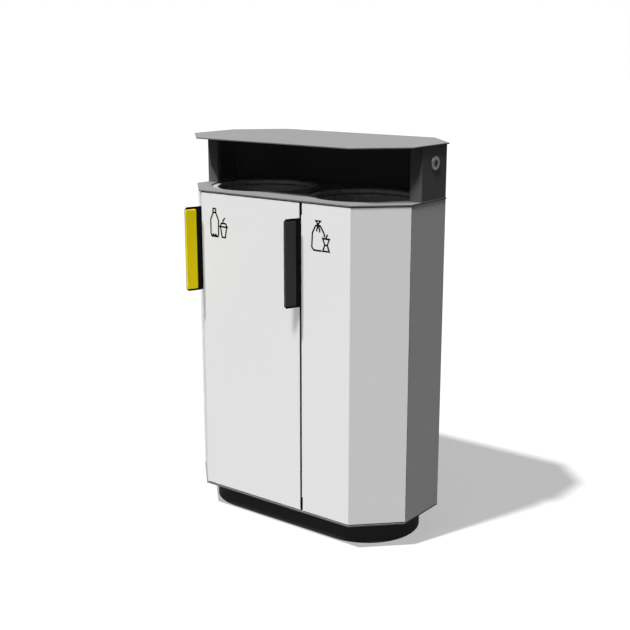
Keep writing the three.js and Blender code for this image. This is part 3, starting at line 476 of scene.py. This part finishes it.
@dataclass(frozen=True)
class MouldedPlastic(Finish):
    """Smooth moulded plastic, a little paler where hands rub its edges."""

    roughness: float = 0.42
    rough_swing: float = 0.05
    rubbed: Colour = (0.8, 0.8, 0.8)
    rub: float = 0.2
    rub_radius: float = 0.0015
    grain_scale: float = 1400.0
    grain_depth: float = 0.00003
    drift: float = 0.03
    drift_scale: float = 14.0
    gloss: float = 0.15

    def dress(self, graph: Graph, shader: bpy.types.Node) -> None:
        """Wire drift, rubbed edges and grain into the shader.

        Args:
            graph: The material's graph.
            shader: Its Principled shader.
        """
        shade = graph.group(EFFECTS.drift(), Scale=self.drift_scale, Amount=self.drift)
        worn = graph.group(EFFECTS.wear(), Radius=self.rub_radius, Amount=self.rub)
        coloured = graph.blend(worn, graph.scaled(self.colour, shade), self.rubbed)
        grain = graph.group(EFFECTS.grain(), Scale=self.grain_scale, Detail=1.0)
        swing = self.rough_swing
        rough = graph.spread(grain, self.roughness - swing, self.roughness + swing)
        self.join(graph, shader, coloured, rough, grain, self.grain_depth)
        shader.inputs["Specular IOR Level"].default_value = self.gloss


@dataclass(frozen=True)
class PrintedFilm(Finish):
    """Thin dark film with a slightly uneven tone."""

    drift: float = 0.12
    drift_scale: float = 40.0
    grain_scale: float = 800.0
    smoothest: float = 0.55
    roughest: float = 0.7
    gloss: float = 0.05

    def dress(self, graph: Graph, shader: bpy.types.Node) -> None:
        """Wire a faint unevenness into the shader.

        Args:
            graph: The material's graph.
            shader: Its Principled shader.
        """
        shade = graph.group(EFFECTS.drift(), Scale=self.drift_scale, Amount=self.drift)
        grain = graph.group(EFFECTS.grain(), Scale=self.grain_scale, Detail=1.0)
        rough = graph.spread(grain, self.smoothest, self.roughest)
        self.join(graph, shader, graph.scaled(self.colour, shade), rough)
        shader.inputs["Specular IOR Level"].default_value = self.gloss


PALE_PAINT = PowderCoat(
    "pale_powder_coat", "pale_paint", (0.76, 0.76, 0.76), gloss=0.06, worn=(0.86, 0.86, 0.86),
)
# A large dust amount with a pale tone paints light onto the roof and deck: upward faces come out
# paler, as from a high lamp.
DARK_PAINT = PowderCoat(
    "anthracite_powder_coat", "anthracite_paint", (0.132, 0.132, 0.134),
    roughness=0.75, gloss=0.04, worn=(0.34, 0.34, 0.34), wear=0.35, dust_and_top_light=0.3, drift=0.03,
)
# The handle plates' anthracite coat is darkened nearly to black: painted shade for the shade they
# sit in.
SHADED_HANDLE_PAINT = PowderCoat(
    "anthracite_coat_painted_shade", "anthracite_paint", (0.008, 0.008, 0.008),
    roughness=0.7, gloss=0.03, worn=(0.06, 0.06, 0.06), wear=0.3, dust_and_top_light=0.01,
)
GALVANISED = GalvanisedSheet("spangled_zinc_sheet", "galvanised_sheet", (0.56, 0.57, 0.58))
ZINC = BareMetal("zinc_plating", "zinc_plated_steel", (0.62, 0.63, 0.64))
STEEL = BareMetal("machined_steel", "plain_steel", (0.1, 0.1, 0.102), roughness=0.4)
BRASS = BareMetal("machined_brass", "brass", (0.55, 0.38, 0.12), tarnish=(0.2, 0.13, 0.05))
YELLOW = MouldedPlastic(
    "yellow_moulding", "yellow_plastic", (0.98, 0.77, 0.0), rubbed=(1.0, 0.85, 0.02),
)
BLACK = MouldedPlastic(
    "black_moulding", "black_plastic", (0.03, 0.03, 0.03), rubbed=(0.1, 0.1, 0.1),
)
NYLON = MouldedPlastic("black_nylon", "nylon", (0.02, 0.02, 0.019), roughness=0.5, rub=0.05)
RUBBER = MouldedPlastic(
    "black_rubber", "rubber", (0.015, 0.015, 0.015), roughness=0.8, rub=0.03, grain_depth=0.0001,
)
SIGN_FILM = PrintedFilm("sign_film", "black_plastic", (0.008, 0.008, 0.008))


# ---- Meshes ------------------------------------------------------------------------------


def new_piece(name: str, mesh: bmesh.types.BMesh, finish: Finish, body: Body) -> None:
    """Turn a finished mesh into a piece that rides on a body.

    Args:
        name: The piece's name.
        mesh: Its geometry in the frame's axes; it is freed here.
        finish: What it is made of.
        body: The body that carries it.
    """
    data = bpy.data.meshes.new(name)
    bmesh.ops.recalc_face_normals(mesh, faces=mesh.faces)
    mesh.to_mesh(data)
    mesh.free()
    piece = bpy.data.objects.new(name, data)
    bpy.context.scene.collection.objects.link(piece)
    data.materials.append(finish.material())
    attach(piece, body.value)


def soften(piece: bpy.types.Object, width: float) -> None:
    """Round a solid's sharp edges a little and shade its curves smooth.

    Args:
        piece: The object to soften.
        width: Width of the rounded edge, in metres.
    """
    piece.data.polygons.foreach_set("use_smooth", [True] * len(piece.data.polygons))
    weld = piece.modifiers.new("weld", "WELD")
    weld.merge_threshold = WELD_REACH
    flat = piece.modifiers.new("merge_flats", "DECIMATE")
    flat.decimate_type = "DISSOLVE"
    flat.angle_limit = FLAT_ANGLE
    bevel = piece.modifiers.new("soft_edges", "BEVEL")
    bevel.width = width
    bevel.segments = EDGE_SEGMENTS
    bevel.limit_method = "ANGLE"
    bevel.angle_limit = SHARP_ANGLE
    level = piece.modifiers.new("level_faces", "WEIGHTED_NORMAL")
    level.mode = "FACE_AREA"
    level.weight = LARGE_FACE_WEIGHT


def dress(nodes: Iterable[str], finish: Finish, edge: float) -> None:
    """Give nodes of the frame their finish and soft edges.

    Args:
        nodes: The nodes' names.
        finish: What they are made of.
        edge: Width of their rounded edges, in metres.
    """
    for name in nodes:
        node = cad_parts[name]
        node.data.materials.clear()
        node.data.materials.append(finish.material())
        soften(node, edge)
    LOG.info("%s: %s", finish.name, ", ".join(nodes))


def spaced(low: float, high: float, end: float, count: int) -> list[float]:
    """Evenly spaced values between two limits, the first and last set in by `end`."""
    return [low + end + (high - low - 2 * end) * i / (count - 1) for i in range(count)]


@dataclass(frozen=True)
class RivetHead:
    """A rivet's low domed head: middle and radius of its foot, and the way it stands."""

    centre: Vector
    axis: Vector
    radius: float

    def add_to(self, mesh: bmesh.types.BMesh) -> None:
        """Add the head to a mesh.

        Args:
            mesh: The mesh that takes it.
        """
        turn = self.axis.to_track_quat("Z", "Y").to_matrix().to_4x4()
        place = Matrix.Translation(self.centre) @ turn
        rings = []
        for share, height in DOME_PROFILE:
            ring = []
            for i in range(DOME_SIDES):
                angle = 2 * math.pi * i / DOME_SIDES
                across = Vector((math.cos(angle) * share, math.sin(angle) * share, height))
                ring.append(mesh.verts.new(place @ (across * self.radius)))
            rings.append(ring)
        for low, high in zip(rings, rings[1:]):
            for i in range(DOME_SIDES):
                j = (i + 1) % DOME_SIDES
                mesh.faces.new((low[i], low[j], high[j], high[i]))
        top = mesh.verts.new(place @ Vector((0, 0, DOME_TOP * self.radius)))
        for i in range(DOME_SIDES):
            mesh.faces.new((rings[-1][i], rings[-1][(i + 1) % DOME_SIDES], top))
        mesh.faces.new(list(reversed(rings[0])))


def rivet(name: str, heads: Sequence[RivetHead], finish: Finish, body: Body) -> None:
    """Make one piece of rivet heads.

    Args:
        name: The piece's name.
        heads: Its heads, in order.
        finish: What they are made of.
        body: The body that carries them.
    """
    mesh = bmesh.new()
    for head in heads:
        head.add_to(mesh)
    new_piece(name, mesh, finish, body)
    LOG.info("%s: %d heads", name, len(heads))


# ---- Signs -------------------------------------------------------------------------------


@dataclass(frozen=True)
class Stroke:
    """A line of one width through points of the door's face, in millimetres."""

    points: tuple[Point, ...]
    closed: bool = False


def mirrored(points: Sequence[Point], x: float) -> tuple[Point, ...]:
    """Close a half outline with its mirror image about the upright line at x."""
    other = [(2 * x - px, z) for px, z in reversed(points)]
    return (*points, *other)


@dataclass(frozen=True)
class Sign:
    """A waste sign made of strokes on a door's front face.

    `middle`, `foot` and `stroke` are in millimetres and `film`, its thickness, in metres.
    """

    name: str
    side: Side
    middle: float
    foot: float
    stroke: float = 5.1
    film: float = 0.00012
    film_gap: float = 0.1
    mitre_limit: float = 0.5
    tip_reach: float = 0.6
    tip_narrowing: float = 0.25

    def strokes(self) -> list[Stroke]:
        """The sign's strokes."""
        raise NotImplementedError

    def build(self, face_y: float) -> None:
        """Lay the sign on the door.

        Args:
            face_y: Y of the door's front face, in metres.
        """
        mesh = bmesh.new()
        for stroke in self.strokes():
            self._ribbon(mesh, stroke, face_y)
        new_piece(self.name, mesh, SIGN_FILM, self.side.door)
        LOG.info("%s: on the %s door", self.name, self.side.value)

    def _ribbon(self, mesh: bmesh.types.BMesh, stroke: Stroke, face_y: float) -> None:
        """Add one stroke as a thin solid ribbon with mitred corners and round ends.

        Args:
            mesh: The mesh that takes it.
            stroke: The line to follow.
            face_y: Y of the door's front face, in metres.
        """
        line = [Vector(p) for p in stroke.points]
        half = self.stroke / 2
        last = len(line) - 1
        left, right = [], []
        for i, spot in enumerate(line):
            before = line[i - 1] if i or stroke.closed else None
            after = line[(i + 1) % len(line)] if i < last or stroke.closed else None
            arrive = (spot - before).normalized() if before is not None else None
            leave = (after - spot).normalized() if after is not None else None
            arrive = leave if arrive is None else arrive
            leave = arrive if leave is None else leave
            along = (arrive + leave).normalized()
            across = Vector((-along.y, along.x))
            turned = across.dot(Vector((-leave.y, leave.x)))
            reach = half / max(self.mitre_limit, turned)
            left.append(spot + across * reach)
            right.append(spot - across * reach)
        if stroke.closed:
            self._plate(mesh, [*left, left[0]], [*right, right[0]], face_y)
            return
        first_tip = self._tip(line[0], line[1], left[0], right[0])
        last_tip = self._tip(line[last], line[last - 1], left[last], right[last])
        edges = [[a, *edge, b] for a, edge, b in zip(first_tip, (left, right), last_tip)]
        self._plate(mesh, edges[0], edges[1], face_y)

    def _tip(
        self, end: Vector, inner: Vector, left: Vector, right: Vector
    ) -> tuple[Vector, Vector]:
        """Narrow the end of an open stroke.

        Args:
            end: The stroke's last point.
            inner: The point before it.
            left: Left edge of the stroke at its last point.
            right: Right edge of the stroke there.

        Returns:
            Left and right edge at the tip.
        """
        tip = end + (end - inner).normalized() * (self.stroke / 2) * self.tip_reach
        shift = (right - left) * self.tip_narrowing
        return tip - shift, tip + shift

    def _plate(
        self, mesh: bmesh.types.BMesh, left: list[Vector], right: list[Vector], face_y: float
    ) -> None:
        """Add the thin solid between two edges of a stroke.

        Args:
            mesh: The mesh that takes it.
            left: Points along one edge.
            right: Points along the other edge.
            face_y: Y of the door's front face, in metres.
        """
        depths = (face_y - self.film, face_y - self.film * self.film_gap)
        rows = [
            [mesh.verts.new((point.x * MM, y, point.y * MM)) for point in edge]
            for edge in (left, right) for y in depths
        ]
        left_front, left_back, right_front, right_back = rows
        for i in range(len(left) - 1):
            j = i + 1
            mesh.faces.new((left_front[i], left_front[j], right_front[j], right_front[i]))
            mesh.faces.new((left_back[j], left_back[i], right_back[i], right_back[j]))
            mesh.faces.new((left_front[j], left_front[i], left_back[i], left_back[j]))
            mesh.faces.new((right_front[i], right_front[j], right_back[j], right_back[i]))
        for k in (0, -1):
            mesh.faces.new((left_front[k], right_front[k], right_back[k], left_back[k]))


@dataclass(frozen=True)
class BottleSign(Sign):
    """An upright drinks bottle with a wavy foot."""

    height: float = 84.0
    width: float = 31.0

    def strokes(self) -> list[Stroke]:
        """Draw the bottle.

        Returns:
            Body, cap and foot.
        """
        x, z = self.middle, self.foot
        half = self.width / 2
        top = z + self.height
        body = mirrored([
            (x - 5, top - 12), (x - 8, top - 18),
            (x - half, z + 50), (x - half, z + 9), (x - half + 3, z),
        ], x)
        cap = mirrored([(x - 5.5, top - 12), (x - 5.5, top - 2), (x - 3.5, top)], x)
        foot = ((x - 9, z + 1), (x - 6, z + 6), (x - 1, z + 1), (x + 4, z + 6), (x + 8, z + 1))
        return [Stroke(body, closed=True), Stroke(cap), Stroke(foot)]


@dataclass(frozen=True)
class CupSign(Sign):
    """A lidded cup with a bent straw."""

    height: float = 58.0

    def strokes(self) -> list[Stroke]:
        """Draw the cup.

        Returns:
            Beaker, rim, lid and straw.
        """
        x, z = self.middle, self.foot
        beaker = mirrored([(x - 12, z + 30), (x - 6.5, z)], x)
        rim = ((x - 16, z + 31.5), (x + 16, z + 31.5))
        lid = mirrored([(x - 12, z + 33), (x - 10, z + 40), (x - 7, z + 42)], x)
        straw = ((x - 2, z + 43), (x - 2, z + self.height - 8), (x + 5, z + self.height))
        return [Stroke(beaker), Stroke(rim), Stroke(lid), Stroke(straw)]


@dataclass(frozen=True)
class BagSign(Sign):
    """A tied refuse bag; its lower right corner is left open for what stands there."""

    height: float = 84.0
    width: float = 44.0

    def strokes(self) -> list[Stroke]:
        """Draw the bag.

        Returns:
            Tuft, bag and two folds.
        """
        x, z = self.middle, self.foot
        half = self.width / 2
        tie = z + self.height - 10
        tuft = ((x, tie), (x - 8.5, tie + 10), (x + 8.5, tie + 10))
        bag = (
            (x + half, z + 41), (x + half, z + 48), (x + 9, tie - 5), (x, tie - 1),
            (x - 9, tie - 5), (x - half + 2, z + 48), (x - half, z + 8),
            (x - half + 7, z), (x + 11, z),
        )
        left = ((x - 1, tie - 4), (x - 5.5, tie - 19))
        right = ((x + 1, tie - 4), (x + 5.5, tie - 15), (x + 5.5, tie - 21))
        return [Stroke(tuft, closed=True), Stroke(bag), Stroke(left), Stroke(right)]


@dataclass(frozen=True)
class CoreSign(Sign):
    """An eaten apple core with its stalk."""

    height: float = 35.5
    width: float = 22.5

    def strokes(self) -> list[Stroke]:
        """Draw the core.

        Returns:
            Core, waist and stalk.
        """
        x, z = self.middle, self.foot
        half = self.width / 2
        waist = z + self.height / 2
        core = mirrored([(x - half, z + self.height), (x - 4.5, waist), (x - half, z)], x)
        stalk = ((x, z + self.height + 3), (x + 5, z + self.height + 12))
        cross = ((x - 3, waist), (x + 3, waist))
        return [Stroke(core, closed=True), Stroke(cross), Stroke(stalk)]


# ---- Sub-assemblies ----------------------------------------------------------------------


@dataclass
class Cabinet:
    """Plinth, floor, body, column, divider and pivot studs."""

    fold: float = 0.0006
    cut: float = 0.0005
    small: float = 0.0003
    rivet_rows: int = 8
    rivet_end: float = 0.05
    rivet_inset: float = 0.012
    rivet_radius: float = 0.0034

    def build(self) -> None:
        """Dress the cabinet's nodes and add its rivets."""
        dress(["body_shell"], PALE_PAINT, self.fold)
        dress(["plinth", "plinth_top", "plinth_bottom", "floor_plate"], DARK_PAINT, self.cut)
        dress(["centre_column"], ZINC, self.cut)
        dress(["divider_panel"], GALVANISED, self.small)
        dress([f"floor_bolt_{i}" for i in range(1, 5)], ZINC, self.small)
        studs = [f"{s.value}_pivot_stud_{end}" for s in Side for end in ("bottom", "top")]
        dress(studs, STEEL, self.small)
        dress(["left_door_buffer", "right_door_buffer"], RUBBER, self.cut)
        dress([f"{s}_latch_guide" for s in ("left", "centre", "right")], NYLON, self.small)
        self._rivets()

    def _rivets(self) -> None:
        """Rivet the divider panel to the centre column, with a head on each face."""
        low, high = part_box("divider_panel")
        y = low.y + self.rivet_inset
        heads = [
            RivetHead(Vector((x, y, z)), Vector((way, 0, 0)), self.rivet_radius)
            for z in spaced(low.z, high.z, self.rivet_end, self.rivet_rows)
            for x, way in ((low.x, -1), (high.x, 1))
        ]
        rivet("divider_rivets", heads, ZINC, Body.CABINET)


@dataclass
class Deck:
    """Deck plate, its two rings and the liners below."""

    cut: float = 0.0006
    rim: float = 0.0003

    def build(self) -> None:
        """Dress the deck's nodes."""
        dress(["deck_plate"], DARK_PAINT, self.cut)
        rings = [f"{s.value}_throat_ring" for s in Side]
        liners = [f"{s.value}_liner" for s in Side]
        dress(rings + liners, GALVANISED, self.rim)


@dataclass
class Hood:
    """Hood, roof and the cover round the lock."""

    fold: float = 0.0006
    cut: float = 0.0008
    rivet_rows: int = 3
    rivet_end: float = 0.02
    rivet_inset: float = 0.012
    rivet_radius: float = 0.003

    def build(self) -> None:
        """Dress the hood's nodes and rivet its lock cover."""
        dress(["hood_shell"], DARK_PAINT, self.fold)
        dress(["roof_plate"], DARK_PAINT, self.cut)
        dress(["lock_cover"], DARK_PAINT, self.fold)
        self._rivets()

    def _rivets(self) -> None:
        """Rivet the lock cover's long side, seen from inside the hood."""
        low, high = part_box("lock_cover")
        heads = [
            RivetHead(
                Vector((low.x, low.y + self.rivet_inset, z)), Vector((-1, 0, 0)), self.rivet_radius
            )
            for z in spaced(low.z, high.z, self.rivet_end, self.rivet_rows)
        ]
        rivet("lock_cover_rivets", heads, DARK_PAINT, Body.CABINET)


@dataclass
class Lock:
    """Rosette, barrel, plug, cam and the rod and bar that they lower."""

    small: float = 0.0002

    def build(self) -> None:
        """Dress the lock's nodes."""
        dress(["lock_rosette", "lock_barrel"], STEEL, self.small)
        dress(["lock_nut", "lock_cam", "lock_rod", "latch_bar"], ZINC, self.small)
        dress(["lock_plug"], BRASS, self.small)


@dataclass
class Door:
    """One door with its handle, stiffener, catch, bushes, signs and a dark seam strip that paints
    the seam's shade.
    """

    side: Side
    insert: Finish
    signs: Sequence[Sign]
    seam_shaded: bool = False
    fold: float = 0.0006
    small: float = 0.0003
    shade_strip_depth: float = 0.012
    shade_strip_rib: float = 0.0012
    shade_strip_ribs: int = 3
    shade_strip_sunk: float = 0.2
    shade_strip_gap: float = 0.0009
    rivet_rows: int = 9
    rivet_end: float = 0.03
    rivet_inset: float = 0.003
    rivet_radius: float = 0.0024
    stiffener_sheet: float = 0.0015
    catch_sheet: float = 0.0025
    catch_rivet_height: float = 0.008
    catch_rivet_radius: float = 0.003

    def build(self) -> None:
        """Dress the door's nodes, lay on its signs and add its rivets and strip."""
        name = self.side.value
        dress([f"{name}_door_skin"], PALE_PAINT, self.fold)
        # Handle plates get a coat darkened as painted shade.
        dress([f"{name}_handle_plate"], SHADED_HANDLE_PAINT, self.small)
        dress([f"{name}_handle_insert"], self.insert, self.small)
        dress([f"{name}_door_stiffener"], GALVANISED, self.small)
        dress([f"{name}_door_catch"], ZINC, self.small)
        bushes = [f"{name}_door_bush_{end}" for end in ("bottom", "top")]
        dress([f"{name}_handle_spacer", *bushes], NYLON, self.small)
        dress([f"{name}_handle_bolt_{end}" for end in ("bottom", "top")], ZINC, self.small)
        face_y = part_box(f"{name}_door_skin")[0].y
        for sign in self.signs:
            sign.build(face_y)
        self._rivets()
        # A dark strip in the seam stands in for the shade in the gap.
        if self.seam_shaded:
            self._add_seam_shade_strip()

    def _add_seam_shade_strip(self) -> None:
        """Line the door's free edge by the seam with a dark ribbed rubber strip: painted shade for
        the dark gap between the doors.
        """
        low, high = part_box(f"{self.side.value}_door_skin")
        rib, pitch = self.shade_strip_rib, self.shade_strip_depth / self.shade_strip_ribs
        profile = [(0.0, 0.0)]
        for i in range(self.shade_strip_ribs):
            profile += [
                (rib * 0.5, pitch * (i + 0.12)), (rib, pitch * (i + 0.5)),
                (rib * 0.5, pitch * (i + 0.87)),
            ]
        profile.append((0.0, self.shade_strip_depth))
        edge_x = high.x - rib * self.shade_strip_sunk
        front_y = low.y + self.shade_strip_gap
        mesh = bmesh.new()
        foot, head = [
            [mesh.verts.new((edge_x + x, front_y + y, z)) for x, y in profile]
            for z in (low.z + self.shade_strip_gap, high.z - self.shade_strip_gap)
        ]
        for i in range(len(profile)):
            j = (i + 1) % len(profile)
            mesh.faces.new((foot[i], foot[j], head[j], head[i]))
        mesh.faces.new(head)
        mesh.faces.new(list(reversed(foot)))
        new_piece("seam_shade_strip", mesh, RUBBER, self.side.door)
        LOG.info("seam_shade_strip: on the %s door's edge", self.side.value)

    def _rivets(self) -> None:
        """Rivet the stiffener's two flanges and the catch's foot."""
        back = Vector((0, 1, 0))
        low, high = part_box(f"{self.side.value}_door_stiffener")
        y = low.y + self.stiffener_sheet
        heads = [
            RivetHead(Vector((x, y, z)), back, self.rivet_radius)
            for z in spaced(low.z, high.z, self.rivet_end, self.rivet_rows)
            for x in (low.x + self.rivet_inset, high.x - self.rivet_inset)
        ]
        low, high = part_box(f"{self.side.value}_door_catch")
        y, z = low.y + self.catch_sheet, low.z + self.catch_rivet_height
        for share in (0.25, 0.75):
            x = low.x + (high.x - low.x) * share
            heads.append(RivetHead(Vector((x, y, z)), back, self.catch_rivet_radius))
        rivet(f"{self.side.value}_door_rivets", heads, ZINC, self.side.door)


# ---- Stage -------------------------------------------------------------------------------


@dataclass
class Studio:
    """Pale ground, a low even surround, one high key lamp and one soft fill.

    Directions point from the bin to the lamp, spreads are in degrees.
    """

    key_to: tuple[float, float, float] = (-0.15, -0.449, 0.881)
    key_strength: float = 3.14
    key_spread: float = 2.8
    fill_to: tuple[float, float, float] = (0.104, -0.498, 0.861)
    fill_strength: float = 2.86
    fill_spread: float = 12.0
    surround: float = 0.1
    ground: float = 0.64
    bounce: float = 0.07
    lift: float = 0.44
    reach: float = 40.0
    sink: float = 0.0004

    def build(self) -> None:
        """Make the ground, the surround and the lamps; the fill leaves the ground alone."""
        ground = self._ground()
        self._world()
        self._lamp("key_lamp", self.key_to, self.key_strength, self.key_spread)
        fill = self._lamp("fill_lamp", self.fill_to, self.fill_strength, self.fill_spread)
        unlit = bpy.data.collections.new("not_filled")
        unlit.objects.link(ground)
        fill.light_linking.receiver_collection = unlit
        unlit.collection_objects[0].light_linking.link_state = "EXCLUDE"
        LOG.info("studio: ground, surround and two lamps")

    def _seen(self, graph: Graph) -> bpy.types.NodeSocket:
        """Tell rays that show the background from rays that only carry its light.

        Args:
            graph: The graph that takes the nodes.

        Returns:
            1 for rays from the camera, gloss or glass, otherwise 0.
        """
        path = graph.add("ShaderNodeLightPath").outputs
        gloss = graph.math("MAXIMUM", path["Is Glossy Ray"], path["Is Transmission Ray"])
        return graph.math("MAXIMUM", path["Is Camera Ray"], gloss)

    def _ground(self) -> bpy.types.Object:
        """Make a flat pale ground that keeps the shadow.

        Returns:
            The ground.
        """
        mesh = bmesh.new()
        bmesh.ops.create_grid(mesh, x_segments=1, y_segments=1, size=self.reach)
        bmesh.ops.translate(mesh, verts=mesh.verts, vec=(0, 0, -self.sink))
        data = bpy.data.meshes.new("ground")
        mesh.to_mesh(data)
        mesh.free()
        ground = bpy.data.objects.new("ground", data)
        bpy.context.scene.collection.objects.link(ground)
        made = bpy.data.materials.new("pale_ground")
        made.use_nodes = True
        graph = Graph(made.node_tree)
        seen = self._seen(graph)
        tone = graph.spread(seen, self.bounce, self.ground)
        matt = graph.add("ShaderNodeBsdfDiffuse", {"Color": tone})
        shine = graph.math("MULTIPLY", seen, self.lift)
        lifted = graph.add("ShaderNodeEmission", {"Strength": shine})
        both = graph.add("ShaderNodeAddShader", {0: matt.outputs[0], 1: lifted.outputs[0]})
        graph.add("ShaderNodeOutputMaterial", {"Surface": both.outputs[0]})
        data.materials.append(made)
        return ground

    def _world(self) -> None:
        """White where it is seen, dim where it lights the bin."""
        world = bpy.data.worlds.new("surround")
        world.use_nodes = True
        bpy.context.scene.world = world
        graph = Graph(world.node_tree)
        strength = graph.spread(self._seen(graph), self.surround, 1.0)
        back = graph.add("ShaderNodeBackground", {"Strength": strength, "Color": (1, 1, 1, 1)})
        graph.add("ShaderNodeOutputWorld", {"Surface": back.outputs[0]})

    def _lamp(
        self, name: str, to: Sequence[float], strength: float, spread: float
    ) -> bpy.types.Object:
        """Add a far lamp.

        Args:
            name: The lamp's name.
            to: Direction from the bin to the lamp.
            strength: Its strength.
            spread: The angle that it fills, in degrees.

        Returns:
            The lamp.
        """
        data = bpy.data.lights.new(name, "SUN")
        data.energy = strength
        data.angle = math.radians(spread)
        lamp = bpy.data.objects.new(name, data)
        lamp.rotation_mode = "QUATERNION"
        lamp.rotation_quaternion = Vector(to).to_track_quat("Z", "Y")
        bpy.context.scene.collection.objects.link(lamp)
        return lamp


@dataclass
class Camera:
    """The photograph's camera; angles in degrees, lens and sensor in millimetres."""

    place: tuple[float, float, float] = (2.0187, -2.6403, 1.4509)
    azimuth: float = 37.4355
    pitch: float = 13.862
    lens: float = 63.13
    sensor: float = 36.0
    far: float = 200.0

    def build(self) -> None:
        """Place the camera and make it the scene's own."""
        data = bpy.data.cameras.new("photo_camera")
        data.lens = self.lens
        data.sensor_width = self.sensor
        data.clip_end = self.far
        camera = bpy.data.objects.new("photo_camera", data)
        camera.location = self.place
        camera.rotation_euler = (math.radians(90 - self.pitch), 0.0, math.radians(self.azimuth))
        bpy.context.scene.collection.objects.link(camera)
        bpy.context.scene.camera = camera


def main() -> None:
    """Dress the bin and set its stage."""
    logging.basicConfig(level=logging.INFO, format="%(message)s")
    bpy.context.scene.view_settings.view_transform = "Standard"
    for lamp in [o for o in bpy.context.scene.objects if o.type == "LIGHT"]:
        bpy.data.objects.remove(lamp)
    Cabinet().build()
    Deck().build()
    Hood().build()
    Lock().build()
    # The left door carries the dark seam strip, painted shade for the gap between the doors.
    Door(Side.LEFT, YELLOW, [
        BottleSign("bottle_sign", Side.LEFT, middle=-221.8, foot=883.5),
        CupSign("cup_sign", Side.LEFT, middle=-186.0, foot=883.5),
    ], seam_shaded=True).build()
    Door(Side.RIGHT, BLACK, [
        BagSign("bag_sign", Side.RIGHT, middle=169.0, foot=883.5),
        CoreSign("core_sign", Side.RIGHT, middle=196.9, foot=883.8),
    ]).build()
    Studio().build()
    Camera().build()


if __name__ == "__main__":
    main()
